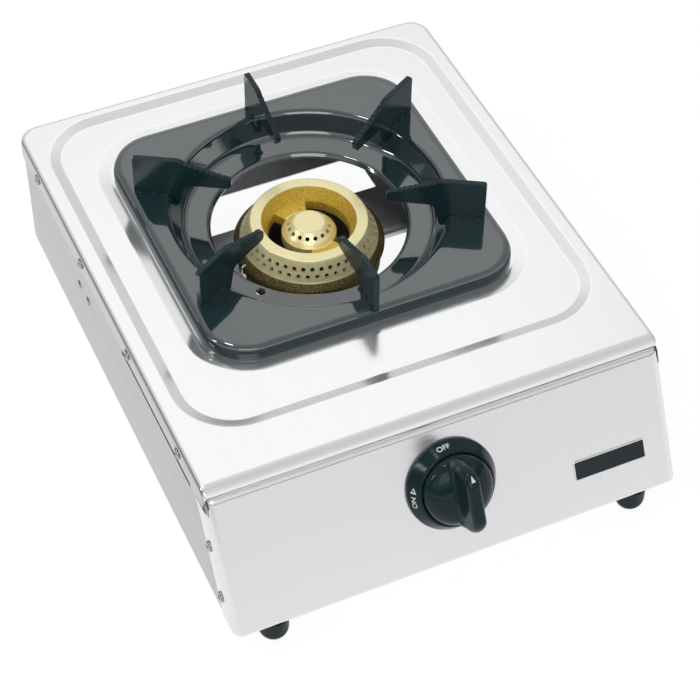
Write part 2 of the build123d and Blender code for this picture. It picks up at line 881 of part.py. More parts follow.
# Pan support arms: upright fins welded to the tray, toothed towards the burner.
arms = {}
for index in range(arm_count):
    angle = arm_first_angle + index * 360 / arm_count
    reach = arm_short_reach if abs(cos(radians(angle))) < sin(radians(arm_first_angle)) else arm_reach
    direction = (cos(radians(angle)), sin(radians(angle)), 0)
    arm_plane = Plane(origin=(0, burner_y, top_z), x_dir=direction, z_dir=(direction[1], -direction[0], 0))
    with BuildPart() as arm:
        with BuildSketch(arm_plane):
            with BuildLine():
                Polyline(*arm_outline(reach), close=True)
            make_face()
        extrude(amount=arm_thickness / 2, both=True)
        across = Axis((0, 0, 0), arm_plane.z_dir)
        crown_edges = arm.edges().filter_by(across).group_by(Axis.Z)[-1]
        fillet(crown_edges.sort_by(Axis((0, 0, 0), direction))[-1], arm_round)
    arms[f"pan_support_arm_{index + 1}"] = arm.part

# Burner cap: a brass ring and dome joined by two bridges, with drilled ports.
with BuildPart() as burner_cap:
    with BuildSketch(burner_section):
        with BuildLine():
            Polyline(
                (cap_inner_radius, -cap_top_drop),
                (cap_outer_radius, -cap_top_drop),
                (cone_radius, -cone_drop),
                (skirt_radius, -skirt_drop),
                (skirt_radius, -skirt_drop - skirt_edge),
                (skirt_radius - skirt_wall, -skirt_drop - skirt_edge),
                (skirt_radius - skirt_wall, -cap_seat_drop),
                (cone_radius - skirt_edge, -cap_seat_drop),
                (cone_radius - cap_wall, -cone_drop),
                (cap_outer_radius - cap_wall / 2, -cap_top_drop - cap_wall),
                (cap_inner_radius + cap_wall / 2, -cap_top_drop - cap_wall),
                (bowl_wall_radius + cap_wall, -bowl_floor_drop),
                (bowl_wall_radius + cap_wall, -cap_seat_drop),
                (bowl_wall_radius, -cap_seat_drop),
                (bowl_wall_radius, -bowl_floor_drop),
                close=True,
            )
        make_face()
    revolve(axis=burner_axis)
    with BuildSketch(burner_section):
        with BuildLine():
            Polyline(
                (0, -dome_drop),
                (dome_radius, -dome_drop),
                (dome_shoulder_radius, -dome_shoulder_drop),
                (dome_base_radius, -bowl_floor_drop),
                (dome_base_radius, -cap_seat_drop),
                (dome_base_radius - cap_wall, -cap_seat_drop),
                (dome_base_radius - cap_wall, -bowl_floor_drop),
                (dome_radius - cap_wall / 2, -dome_drop - cap_wall),
                (0, -dome_drop - cap_wall),
                close=True,
            )
        make_face()
    revolve(axis=burner_axis)
    for turn in (bridge_turn, bridge_turn + 180):
        start = radians(turn - bridge_angle / 2)
        bridge_start = Plane(
            origin=(0, burner_y, top_z), x_dir=(cos(start), sin(start), 0), z_dir=(sin(start), -cos(start), 0)
        )
        with BuildSketch(bridge_start):
            with BuildLine():
                Polyline(
                    (dome_base_radius - cap_wall / 2, -bowl_floor_drop),
                    (bowl_wall_radius + cap_wall / 2, -bowl_floor_drop),
                    (bowl_wall_radius + cap_wall / 2, -cap_seat_drop),
                    (dome_base_radius - cap_wall / 2, -cap_seat_drop),
                    close=True,
                )
            make_face()
        revolve(axis=burner_axis, revolution_arc=bridge_angle)
    channel_length = 2 * (bowl_wall_radius + 2 * cap_wall)
    channel_height = cap_seat_drop - bowl_floor_drop - bridge_roof
    with Locations(Location((0, burner_y, at_drop(cap_seat_drop)), (0, 0, bridge_turn))):
        Box(channel_length, bridge_channel, 2 * channel_height, mode=Mode.SUBTRACT)
    cone_slope = (cone_radius - cap_outer_radius) / (cone_drop - cap_top_drop)
    cone_angle = atan2(cone_slope, 1)
    for row, drop in enumerate((upper_port_drop, lower_port_drop)):
        radius = cap_outer_radius + (drop - cap_top_drop) * cone_slope
        for port in range(port_count):
            turn = radians((port + row / 2) * 360 / port_count)
            spot = (radius * cos(turn), burner_y + radius * sin(turn), at_drop(drop))
            out = (cos(cone_angle) * cos(turn), cos(cone_angle) * sin(turn), sin(cone_angle))
            with Locations(Plane(origin=spot, z_dir=out)):
                Cylinder(port_radius, 2 * cap_wall, mode=Mode.SUBTRACT)
    dome_angle = atan2(dome_shoulder_radius - dome_radius, dome_shoulder_drop - dome_drop)
    dome_port_drop = (dome_drop + dome_shoulder_drop) / 2
    dome_port_radius = (dome_radius + dome_shoulder_radius) / 2
    for port in range(dome_port_count):
        turn = radians((port + bridge_turn / 360) * 360 / dome_port_count)
        spot = (dome_port_radius * cos(turn), burner_y + dome_port_radius * sin(turn), at_drop(dome_port_drop))
        out = (cos(dome_angle) * cos(turn), cos(dome_angle) * sin(turn), sin(dome_angle))
        with Locations(Plane(origin=spot, z_dir=out)):
            Cylinder(port_radius, 2 * cap_wall, mode=Mode.SUBTRACT)
burner_cap.part.label = "burner_cap"

# Burner base: a cast trough and hub cup with bridges, fed by the mixing tube.
rim_radius = skirt_radius - skirt_wall - base_gap
trough_radius = rim_radius - skirt_wall
seat = -cap_seat_drop - seat_gap
base_low = seat - base_height
with BuildPart() as burner_base:
    for inner, outer in ((bowl_wall_radius, rim_radius), (0, dome_base_radius)):
        with BuildSketch(burner_plane.offset(base_low)):
            Circle(outer)
            if inner:
                Circle(inner, mode=Mode.SUBTRACT)
        extrude(amount=base_height)
    for turn in (bridge_turn, bridge_turn + 180):
        start = radians(turn - bridge_angle / 2)
        bridge_start = Plane(
            origin=(0, burner_y, top_z), x_dir=(cos(start), sin(start), 0), z_dir=(sin(start), -cos(start), 0)
        )
        with BuildSketch(bridge_start):
            with BuildLine():
                Polyline(
                    (dome_base_radius - cap_wall / 2, seat),
                    (bowl_wall_radius + cap_wall / 2, seat),
                    (bowl_wall_radius + cap_wall / 2, base_low),
                    (dome_base_radius - cap_wall / 2, base_low),
                    close=True,
                )
            make_face()
        revolve(axis=burner_axis, revolution_arc=bridge_angle)
    with BuildSketch(burner_plane.offset(base_low + base_floor)):
        Circle(trough_radius)
        Circle(bowl_wall_radius + cap_wall, mode=Mode.SUBTRACT)
        Circle(dome_base_radius - cap_wall)
    extrude(amount=base_height, mode=Mode.SUBTRACT)
    with Locations(Location((0, burner_y, top_z + base_low + base_floor), (0, 0, bridge_turn))):
        Box(
            channel_length,
            bridge_channel,
            base_height,
            align=(Align.CENTER, Align.CENTER, Align.MIN),
            mode=Mode.SUBTRACT,
        )
    for x in (-burner_screw_x, burner_screw_x):
        with Locations((x, at_depth(burner_screw_depth), top_z + base_low)):
            Cylinder(
                burner_boss_radius,
                base_floor + burner_boss_height,
                align=(Align.CENTER, Align.CENTER, Align.MIN),
            )
            Cylinder(
                burner_screw_radius + screw_play,
                2 * (burner_screw_length - bar_sheet),
                mode=Mode.SUBTRACT,
            )
    tube_length = tube_y_start - tube_front_y
    with Locations((0, tube_y_start, tube_z)):
        Sphere(tube_radius)
        with Locations(Rotation(90, 0, 0)):
            Cylinder(tube_radius, tube_length, align=(Align.CENTER, Align.CENTER, Align.MIN))
        throat_height = top_z + base_low + base_floor - tube_z
        Cylinder(throat_radius, throat_height, align=(Align.CENTER, Align.CENTER, Align.MIN))
    with Locations((0, tube_y_start, tube_z)):
        Cylinder(
            throat_bore,
            throat_height + base_floor,
            align=(Align.CENTER, Align.CENTER, Align.MIN),
            mode=Mode.SUBTRACT,
        )
        with Locations(Rotation(90, 0, 0)):
            Cylinder(
                tube_bore,
                tube_length - tube_end_wall,
                align=(Align.CENTER, Align.CENTER, Align.MIN),
                mode=Mode.SUBTRACT,
            )
            Cylinder(
                air_collar_bore,
                tube_length + overrun,
                align=(Align.CENTER, Align.CENTER, Align.MIN),
                mode=Mode.SUBTRACT,
            )
    window_y = tube_front_y + tube_end_wall + window_front_gap + window_length / 2
    with Locations((0, window_y, tube_z)):
        Box(2 * tube_radius + overrun, window_length, window_width, mode=Mode.SUBTRACT)
burner_base.part.label = "burner_base"

# Burner screws: from below the crossbar up into the base's bosses.
burner_screw = screw_body(screw_head_radius, screw_head_height, burner_screw_radius, burner_screw_length)
with BuildPart() as burner_screws:
    for x in (-burner_screw_x, burner_screw_x):
        spot = (x, at_depth(burner_screw_depth), bar_top_z - bar_sheet)
        with Locations(Plane(origin=spot, x_dir=(1, 0, 0), z_dir=(0, 0, -1))):
            add(burner_screw)
burner_screws.part.label = "burner_screws"

# Air shutter: a sleeve that turns on the mixing tube over its two windows.
with BuildPart() as air_shutter:
    with BuildSketch(Plane(origin=(0, window_y + shutter_length / 2, tube_z), x_dir=(1, 0, 0), z_dir=(0, -1, 0))):
        Circle(tube_radius + shutter_gap + shutter_wall)
        with Locations((0, -tube_radius - shutter_tab / 2)):
            Rectangle(shutter_wall, shutter_tab)
        Circle(tube_radius + shutter_gap, mode=Mode.SUBTRACT)
    extrude(amount=shutter_length)
    with Locations((0, window_y, tube_z)):
        Box(2 * tube_radius + overrun, window_length, window_width, mode=Mode.SUBTRACT)
air_shutter.part.label = "air_shutter"

# Valve yoke: a plate with two posts that reach the front panel.
yoke_half_width = yoke_post_x + yoke_rim
with BuildPart() as valve_yoke:
    with BuildSketch(knob_level(-yoke_face - yoke_plate)):
        SlotOverall(2 * yoke_half_width, 2 * yoke_half_height)
    extrude(amount=yoke_plate)
    with BuildSketch(knob_level(-yoke_face)):
        with Locations(*mount_places):
            Circle(yoke_post_radius)
    extrude(amount=yoke_face - sheet)
    with Locations(knob_level(-yoke_face)):
        drill(stem_radius + push_play, 2 * yoke_plate)
        with Locations((-valve_screw_x, valve_screw_y), (valve_screw_x, -valve_screw_y)):
            drill(screw_radius + screw_play, 2 * yoke_plate)
    with Locations(knob_level(-sheet)):
        with Locations(*mount_places):
            drill(mount_screw_radius + screw_play, mount_screw_length)
valve_yoke.part.label = "valve_yoke"

# Igniter bracket: a plate held between the yoke and the valve body.
bracket_face = yoke_face + yoke_plate
valve_face = bracket_face + bracket_plate
bracket_end = igniter_x - igniter_radius - bracket_edge
with BuildPart() as igniter_bracket:
    with BuildSketch(knob_level(-valve_face)):
        with Locations(((bracket_end + yoke_half_width) / 2, 0)):
            SlotOverall(yoke_half_width - bracket_end, 2 * yoke_half_height)
        Circle(stem_radius + bracket_edge, mode=Mode.SUBTRACT)
        with Locations((igniter_x, 0)):
            Circle(igniter_neck_radius + screw_play, mode=Mode.SUBTRACT)
        with Locations(*mount_places):
            Circle(mount_screw_radius + screw_play, mode=Mode.SUBTRACT)
        with Locations((-valve_screw_x, valve_screw_y), (valve_screw_x, -valve_screw_y)):
            Circle(screw_radius + screw_play, mode=Mode.SUBTRACT)
    extrude(amount=bracket_plate)
igniter_bracket.part.label = "igniter_bracket"

# Valve body: stepped bore for spring and plug, with bosses for the jet and the pipe.
outlet_plane = Plane(origin=(0, outlet_y, outlet_z), x_dir=(1, 0, 0), z_dir=(0, 1, 0))
inlet_boss_plane = Plane(origin=(0, inlet_y, inlet_z), x_dir=(0, 1, 0), z_dir=(1, 0, 0))
plug_end = plug_start + plug_length
with BuildPart() as valve_body:
    with BuildSketch(knob_level(-valve_face - valve_length)):
        Circle(valve_radius)
    extrude(amount=valve_length)
    with BuildSketch(outlet_plane):
        Circle(outlet_radius)
    extrude(amount=outlet_length)
    with BuildSketch(inlet_boss_plane):
        Circle(inlet_radius)
    extrude(amount=inlet_end_x)
    with BuildSketch(knob_level(-valve_face)):
        Circle(spring_chamber_radius)
    extrude(amount=-(plug_start - valve_face), mode=Mode.SUBTRACT)
    with BuildSketch(knob_level(-plug_start)):
        Circle(plug_radius + plug_gap)
    extrude(amount=-plug_length - plug_chamber, mode=Mode.SUBTRACT)
    with BuildSketch(outlet_plane):
        Circle(jet_bore)
    extrude(amount=outlet_length, mode=Mode.SUBTRACT)
    with BuildSketch(outlet_plane.offset(outlet_length - jet_socket_depth)):
        Circle(jet_shank_radius)
    extrude(amount=jet_socket_depth, mode=Mode.SUBTRACT)
    with BuildSketch(inlet_boss_plane):
        Circle(nipple_bore)
    extrude(amount=inlet_end_x, mode=Mode.SUBTRACT)
    with BuildSketch(inlet_boss_plane.offset(inlet_end_x - pipe_socket_depth)):
        Circle(pipe_radius + pipe_gap)
    extrude(amount=pipe_socket_depth, mode=Mode.SUBTRACT)
    with Locations(knob_level(-valve_face)):
        with Locations((-valve_screw_x, valve_screw_y), (valve_screw_x, -valve_screw_y)):
            drill(screw_radius + screw_play, screw_length + sheet)
valve_body.part.label = "valve_body"

# Screws that hold the valve body to its yoke, and the yoke to the panel and the dial.
valve_screw = screw_body(
    screw_head_radius - screw_slot_width, screw_head_height, screw_radius, yoke_plate + bracket_plate + screw_length
)
with BuildPart() as valve_screws:
    with Locations(knob_level(-yoke_face)):
        with Locations((-valve_screw_x, valve_screw_y), (valve_screw_x, -valve_screw_y)):
            add(valve_screw)
valve_screws.part.label = "valve_screws"

mount_screw = screw_body(mount_head_radius, mount_head_height, mount_screw_radius, mount_screw_length)
with BuildPart() as valve_mount_screws:
    with Locations(knob_level(bezel_floor)):
        with Locations(*mount_places):
            add(mount_screw)
valve_mount_screws.part.label = "valve_mount_screws"

# Valve plug: turns with the stem and opens the gas way.
with BuildPart() as valve_plug:
    with BuildSketch(knob_level(-plug_start - seat_gap)):
        Circle(plug_radius)
    extrude(amount=-(plug_length - seat_gap))
    with BuildSketch(knob_level(-plug_start)):
        Rectangle(tongue_width + 2 * tongue_play, tongue_thickness + 2 * tongue_play)
    extrude(amount=-plug_slot_depth, mode=Mode.SUBTRACT)
    way_origin = knob_level(-inlet_station).origin
    low_way = Plane(origin=way_origin, x_dir=knob_plane.y_dir, z_dir=(-1, 0, 0))
    full_way = Plane(origin=way_origin, x_dir=(1, 0, 0), z_dir=-1 * knob_plane.y_dir)
    for way, way_radius in ((full_way, plug_way_radius), (low_way, plug_low_way_radius)):
        with BuildSketch(way):
            Circle(way_radius)
        extrude(amount=plug_radius + overrun, mode=Mode.SUBTRACT)
    with BuildSketch(knob_level(-plug_end)):
        Circle(plug_way_radius)
    extrude(amount=plug_end - inlet_station, mode=Mode.SUBTRACT)
valve_plug.part.label = "valve_plug"

# Valve stem: knob end with a flat, guided shaft, spring neck and tongue.
with BuildPart() as valve_stem:
    with BuildSketch(knob_level(-stem_shoulder)):
        Circle(stem_radius)
    extrude(amount=stem_shoulder + stem_outer_end)
    with BuildSketch(knob_level(-tongue_start)):
        Circle(stem_neck_radius)
    extrude(amount=tongue_start - stem_shoulder)
    with BuildSketch(knob_level(-tongue_end)):
        Rectangle(tongue_width, tongue_thickness)
    extrude(amount=tongue_end - tongue_start)
    with BuildSketch(knob_level(stem_flat_start)):
        with Locations((0, stem_flat)):
            Rectangle(2 * stem_radius, stem_radius, align=(Align.CENTER, Align.MIN))
    extrude(amount=stem_outer_end, mode=Mode.SUBTRACT)
valve_stem.part.label = "valve_stem"

# Thrust washer: slides with the stem's shoulder and takes the spring.
with BuildPart() as thrust_washer:
    with BuildSketch(knob_level(-stem_shoulder - washer_thickness)):
        Circle(spring_chamber_radius - washer_gap)
        Circle(stem_neck_radius + push_play, mode=Mode.SUBTRACT)
    extrude(amount=washer_thickness)
thrust_washer.part.label = "thrust_washer"

# Valve spring: from the washer down to the step of the bore.
spring_room = plug_start - stem_shoulder - washer_thickness - 2 * push_play
spring_height = spring_room - spring_wire
spring_radius = spring_chamber_radius - washer_gap - spring_wire / 2
with BuildPart() as spring_coil:
    with BuildLine() as spring_path:
        Helix(spring_height / spring_turns, spring_height, spring_radius)
    with BuildSketch(Plane(origin=spring_path.line @ 0, z_dir=spring_path.line % 0)):
        Circle(spring_wire / 2)
    sweep(path=spring_path.line, is_frenet=True)

with BuildPart() as valve_spring:
    with Locations(knob_level(-plug_start + push_play + spring_wire / 2)):
        add(spring_coil.part)
valve_spring.part.label = "valve_spring"

# Knob bezel: a dished dial with a sloping face, screwed down through its floor.
with BuildPart() as knob_bezel:
    with BuildSketch(Plane(origin=knob_plane.origin, x_dir=(1, 0, 0), z_dir=-1 * knob_plane.y_dir)):
        with BuildLine():
            bezel_bore = knob_radius + knob_bezel_gap
            Polyline(
                (bezel_hole_radius, 0),
                (bezel_radius, 0),
                (bezel_radius, bezel_edge),
                (bezel_top_radius + bezel_edge / 4, bezel_height - bezel_edge / 4),
                (bezel_top_radius, bezel_height),
                (bezel_bore, bezel_height),
                (bezel_bore, bezel_floor),
                (bezel_hole_radius, bezel_floor),
                close=True,
            )
        make_face()
    revolve(axis=Axis(knob_plane.origin, knob_plane.z_dir))
    with Locations(knob_level(bezel_floor)):
        with Locations(*mount_places):
            drill(mount_screw_radius + screw_play, overrun)
knob_bezel.part.label = "knob_bezel"

knob_axis = Axis(knob_plane.origin, knob_plane.z_dir)
with BuildSketch() as pointer_outline:
    with BuildLine():
        Polyline(
            (0, pointer_tip),
            (-pointer_width / 2, pointer_tip - pointer_length),
            (pointer_width / 2, pointer_tip - pointer_length),
            close=True,
        )
    make_face()

# Grip: the knob's tall bar, narrower at its crest and sloping down at its lower end.
grip_foot = knob_body_height - knob_wall
grip_side = Plane(origin=knob_plane.origin, x_dir=knob_plane.y_dir, z_dir=knob_plane.x_dir)
with BuildPart() as grip:
    with BuildSketch(grip_side):
        with BuildLine():
            Polyline(
                (grip_top_end - knob_wall, grip_foot),
                (grip_top_end, knob_body_height),
                (grip_top_end, grip_height),
                (grip_crest_end, grip_height),
                (-grip_bottom_end, grip_low_height),
                (-grip_bottom_end, knob_body_height),
                (-grip_bottom_end + knob_wall, grip_foot),
                close=True,
            )
        make_face()
    extrude(amount=grip_width / 2, both=True)
    with BuildSketch(Plane(origin=knob_plane.origin, x_dir=(1, 0, 0), z_dir=-1 * knob_plane.y_dir)):
        with BuildLine():
            Polyline(
                (-grip_width / 2, 0),
                (grip_width / 2, 0),
                (grip_width / 2, knob_body_height),
                (grip_crest_width / 2, grip_height),
                (-grip_crest_width / 2, grip_height),
                (-grip_width / 2, knob_body_height),
                close=True,
            )
        make_face()
    extrude(amount=grip_top_end + overrun, both=True, mode=Mode.INTERSECT)
    top_end_face = grip.faces().sort_by(Axis(knob_plane.origin, knob_plane.y_dir))[-1]
    fillet(top_end_face.edges().sort_by(knob_axis)[-1], grip_round)

# Knob: a hollow drum with a hub for the stem and the grip on top.
with BuildPart() as knob:
    with BuildSketch(knob_level(knob_start)):
        Circle(knob_radius)
    extrude(amount=knob_body_height - knob_start)
    fillet(knob.faces().sort_by(knob_axis)[-1].edges(), knob_edge_round)
    with BuildSketch(knob_level(knob_start)):
        Circle(knob_radius - knob_wall)
        Circle(hub_radius, mode=Mode.SUBTRACT)
    extrude(amount=knob_body_height - knob_wall - knob_start, mode=Mode.SUBTRACT)
    add(grip.part)
    with BuildSketch(knob_level(knob_start)):
        Circle(stem_radius + stem_play)
        with Locations((0, stem_flat + stem_play)):
            Rectangle(2 * hub_radius, hub_radius, align=(Align.CENTER, Align.MIN), mode=Mode.SUBTRACT)
    extrude(amount=stem_outer_end + seat_gap - knob_start, mode=Mode.SUBTRACT)
    with BuildSketch(knob_level(grip_height - pointer_thickness + pointer_proud)):
        add(pointer_outline.sketch)
    extrude(amount=pointer_thickness, mode=Mode.SUBTRACT)
knob.part.label = "knob"

# Knob pointer: a white wedge let into the crest of the grip.
with BuildPart() as knob_pointer:
    with BuildSketch(knob_level(grip_height - pointer_thickness + pointer_proud)):
        add(pointer_outline.sketch)
    extrude(amount=pointer_thickness)
knob_pointer.part.label = "knob_pointer"

# Badge plate: a bare plate on the front panel, low on the right.
with BuildPart() as badge_plate:
    with BuildSketch(crease_plane):
        with Locations((badge_x, -badge_down)):
            RectangleRounded(badge_width, badge_height, badge_corner)
    extrude(amount=badge_thickness)
badge_plate.part.label = "badge_plate"

# Gas jet: a hexagon with a threaded shank into the valve and a nose into the mixing tube.
jet_face = outlet_plane.offset(outlet_length)
jet_end = jet_gap + jet_nose_entry
with BuildPart() as gas_jet:
    with BuildSketch(jet_face):
        hexagon(jet_hex)
    extrude(amount=jet_hex_length)
    with BuildSketch(jet_face.offset(-jet_socket_depth)):
        Circle(jet_shank_radius)
    extrude(amount=jet_socket_depth + jet_end)
    with BuildSketch(jet_face.offset(-jet_socket_depth)):
        Circle(2 * jet_bore)
    extrude(amount=jet_socket_depth + jet_end - jet_bore, mode=Mode.SUBTRACT)
    with BuildSketch(jet_face):
        Circle(jet_bore / 2)
    extrude(amount=jet_end, mode=Mode.SUBTRACT)
gas_jet.part.label = "gas_jet"

# Gas pipe: from the valve's inlet to the side, round one bend and back to the nipple.
pipe_start = inlet_end_x - pipe_socket_depth
nipple_inner_y = back_y - wrap_inset - nipple_shank_length
pipe_end_y = nipple_inner_y + pipe_socket_depth
with BuildPart() as gas_pipe:
    with BuildLine() as pipe_path:
        FilletPolyline(
            (pipe_start, inlet_y, inlet_z),
            (pipe_x, inlet_y, inlet_z),
            (pipe_x, pipe_end_y, inlet_z),
            radius=pipe_bend,
        )
    with BuildSketch(Plane(origin=(pipe_start, inlet_y, inlet_z), x_dir=(0, 1, 0), z_dir=(1, 0, 0))):
        Circle(pipe_radius)
        Circle(pipe_bore, mode=Mode.SUBTRACT)
    sweep()
gas_pipe.part.label = "gas_pipe"

# Pipe nuts: one on the valve's inlet boss and one on the nipple's shank.
with BuildPart() as pipe_nut:
    with BuildSketch():
        hexagon(nut_across_flats)
        Circle(pipe_radius + pipe_gap, mode=Mode.SUBTRACT)
    extrude(amount=nut_length)
    with BuildSketch():
        Circle(nipple_shank_radius + nut_gap)
    extrude(amount=nut_grip, mode=Mode.SUBTRACT)

valve_nut_plane = Plane(origin=(inlet_end_x - nut_grip, inlet_y, inlet_z), x_dir=(0, 1, 0), z_dir=(1, 0, 0))
nipple_nut_plane = Plane(origin=(pipe_x, nipple_inner_y + nut_grip, inlet_z), x_dir=(1, 0, 0), z_dir=(0, -1, 0))
with BuildPart() as pipe_nuts:
    with Locations(valve_nut_plane, nipple_nut_plane):
        add(pipe_nut.part)
pipe_nuts.part.label = "pipe_nuts"

# Inlet nipple: shank through the back wall, hexagon outside and a ridged hose end.
wall_plane = inlet_plane.offset(-wrap_inset)
hose_start = wrap_inset + nipple_reach
with BuildPart() as inlet_nipple:
    with BuildSketch(wall_plane.offset(-nipple_shank_length)):
        Circle(nipple_shank_radius)
    extrude(amount=nipple_shank_length)
    with BuildSketch(wall_plane):
        hexagon(nipple_hex)
    extrude(amount=nipple_hex_length)
    with BuildSketch(wall_plane):
        Circle(nipple_radius)
    extrude(amount=hose_start)
    for ridge in range(nipple_ridge_count):
        ridge_out = hose_start - nipple_tip_length - ridge * nipple_ridge_length
        with BuildSketch(wall_plane.offset(ridge_out)):
            Circle(nipple_radius)
        with BuildSketch(wall_plane.offset(ridge_out - nipple_ridge_length)):
            Circle(nipple_ridge_radius)
        loft()
    with BuildSketch(wall_plane.offset(-nipple_shank_length)):
        Circle(nipple_bore)
    extrude(amount=nipple_shank_length + hose_start, mode=Mode.SUBTRACT)
    with BuildSketch(wall_plane.offset(-nipple_shank_length)):
        Circle(pipe_radius + pipe_gap)
    extrude(amount=pipe_socket_depth, mode=Mode.SUBTRACT)
inlet_nipple.part.label = "inlet_nipple"

# Lock nut: holds the nipple against the back wall from inside.
with BuildPart() as inlet_lock_nut:
    with BuildSketch(wall_plane.offset(-sheet)):
        hexagon(nipple_hex)
        Circle(nipple_shank_radius + nut_gap, mode=Mode.SUBTRACT)
    extrude(amount=-lock_nut_length)
inlet_lock_nut.part.label = "inlet_lock_nut"

# Igniter: a sealed body in the bracket beside the valve, with a neck and a terminal.
igniter_end = valve_face + igniter_length
with BuildPart() as igniter:
    for radius, front, back in (
        (igniter_radius, valve_face, igniter_end),
        (igniter_neck_radius, bracket_face - igniter_shoulder, valve_face),
        (igniter_tail_radius, igniter_end, igniter_end + igniter_tail_length),
    ):
        with BuildSketch(knob_level(-back)):
            with Locations((igniter_x, 0)):
                Circle(radius)
        extrude(amount=back - front)
igniter.part.label = "igniter"

# Electrode: a wire with a hooked end in a ceramic insulator, on a strip on the crossbar.
electrode_y = burner_y - electrode_forward
insulator_top_z = at_drop(insulator_top_drop)
insulator_bottom_z = insulator_top_z - insulator_length
strip_top_z = bar_top_z + strip_sheet
with BuildPart() as electrode_insulator:
    with Locations((electrode_x, electrode_y, insulator_bottom_z)):
        Cylinder(insulator_radius, insulator_length, align=(Align.CENTER, Align.CENTER, Align.MIN))
    with Locations((electrode_x, electrode_y, strip_top_z)):
        Cylinder(collar_radius, collar_height, align=(Align.CENTER, Align.CENTER, Align.MIN))
    with Locations((electrode_x, electrode_y, insulator_top_z)):
        drill(electrode_radius + electrode_play, electrode_sunk)
electrode_insulator.part.label = "electrode_insulator"

electrode_reach = hypot(electrode_x, electrode_forward)
inward = (-electrode_x / electrode_reach, electrode_forward / electrode_reach)
electrode_top_z = at_drop(electrode_top_drop)
with BuildPart() as electrode_wire:
    with BuildLine() as wire_path:
        FilletPolyline(
            (electrode_x, electrode_y, insulator_top_z - electrode_sunk),
            (electrode_x, electrode_y, electrode_top_z),
            (electrode_x + electrode_hook * inward[0], electrode_y + electrode_hook * inward[1], electrode_top_z),
            radius=electrode_bend,
        )
    with BuildSketch(Plane(origin=(electrode_x, electrode_y, insulator_top_z - electrode_sunk))):
        Circle(electrode_radius)
    sweep()
electrode_wire.part.label = "electrode_wire"

strip_screw_y = at_depth(strip_screw_depth)
with BuildPart() as electrode_bracket:
    with BuildSketch(Plane.XY.offset(bar_top_z)):
        with Locations((electrode_x, (electrode_y + strip_screw_y) / 2)):
            SlotCenterToCenter(strip_screw_y - electrode_y, strip_width, rotation=90)
        with Locations((electrode_x, electrode_y)):
            Circle(insulator_radius + screw_play, mode=Mode.SUBTRACT)
        with Locations((electrode_x, strip_screw_y)):
            Circle(strip_screw_radius + screw_play, mode=Mode.SUBTRACT)
    extrude(amount=strip_sheet)
electrode_bracket.part.label = "electrode_bracket"

strip_screw = screw_body(strip_screw_head_radius, strip_screw_head_height, strip_screw_radius, strip_screw_length)
with BuildPart() as electrode_screw:
    with Locations((electrode_x, strip_screw_y, strip_top_z)):
        add(strip_screw)
electrode_screw.part.label = "electrode_screw"

# Ignition lead: from the igniter's terminal, low along the casing, up to the insulator.
lead_depth = igniter_end + igniter_tail_length
lead_y = knob_y + lean_cos * lead_depth
lead_z = knob_z - lean_sin * lead_depth
lead_low_z = at_drop(lead_sag)
lead_low_y = lead_y + (lead_z - lead_low_z) * lean_cos / lean_sin
lead_points = [(igniter_x, lead_y, lead_z), (igniter_x, lead_low_y, lead_low_z)]
for index, share in enumerate(lead_shares):
    aside = lead_wave if index % 2 else -lead_wave
    lead_points.append(
        (
            igniter_x + (electrode_x - igniter_x) * share + aside,
            lead_low_y + (electrode_y - lead_low_y) * share,
            lead_low_z,
        )
    )
lead_points.append((electrode_x, electrode_y, lead_low_z))
lead_points.append((electrode_x, electrode_y, insulator_bottom_z))
with BuildPart() as igniter_lead:
    with BuildLine() as lead_path:
        FilletPolyline(*lead_points, radius=lead_bend)
    with BuildSketch(Plane(origin=lead_points[0], x_dir=(1, 0, 0), z_dir=(0, lean_cos, -lean_sin))):
        Circle(lead_radius)
    sweep()
igniter_lead.part.label = "igniter_lead"

# Every piece goes to a file of its own name.
pieces = [
    top_cover.part,
    front_panel.part,
    casing_wrap.part,
    bottom_pan.part,
    burner_crossbar.part,
    cover_screws.part,
    front_panel_screws.part,
    crossbar_rivets.part,
    foot_screws.part,
    drip_tray.part,
    burner_cap.part,
    burner_base.part,
    burner_screws.part,
    air_shutter.part,
    gas_jet.part,
    valve_yoke.part,
    igniter_bracket.part,
    valve_body.part,
    valve_screws.part,
    valve_mount_screws.part,
    valve_plug.part,
    valve_stem.part,
    thrust_washer.part,
    valve_spring.part,
    knob_bezel.part,
    knob.part,
    knob_pointer.part,
    badge_plate.part,
    gas_pipe.part,
    pipe_nuts.part,
    inlet_nipple.part,
    inlet_lock_nut.part,
    igniter.part,
    igniter_lead.part,
    electrode_insulator.part,
    electrode_wire.part,
    electrode_bracket.part,
    electrode_screw.part,
]
for piece in pieces:
    export_step(piece, f"parts/{piece.label}.step")
for name, piece in {**feet, **arms}.items():
    piece.label = name
    export_step(piece, f"parts/{name}.step")
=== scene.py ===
# %% [markdown]
# # A table-top stove with one burner
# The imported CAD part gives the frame: each body that moves, and each piece's place in it.
# This lesson dresses that frame. Pressed sheet, enamel, turned brass and moulded plastic each get
# a mesh and a finish of their own. Sizes are written in millimetres, as on a workshop drawing, and
# one factor turns them into Blender's metres.

# %% Load the frame
import math

import bmesh
import bpy
from mathutils import Matrix, Vector


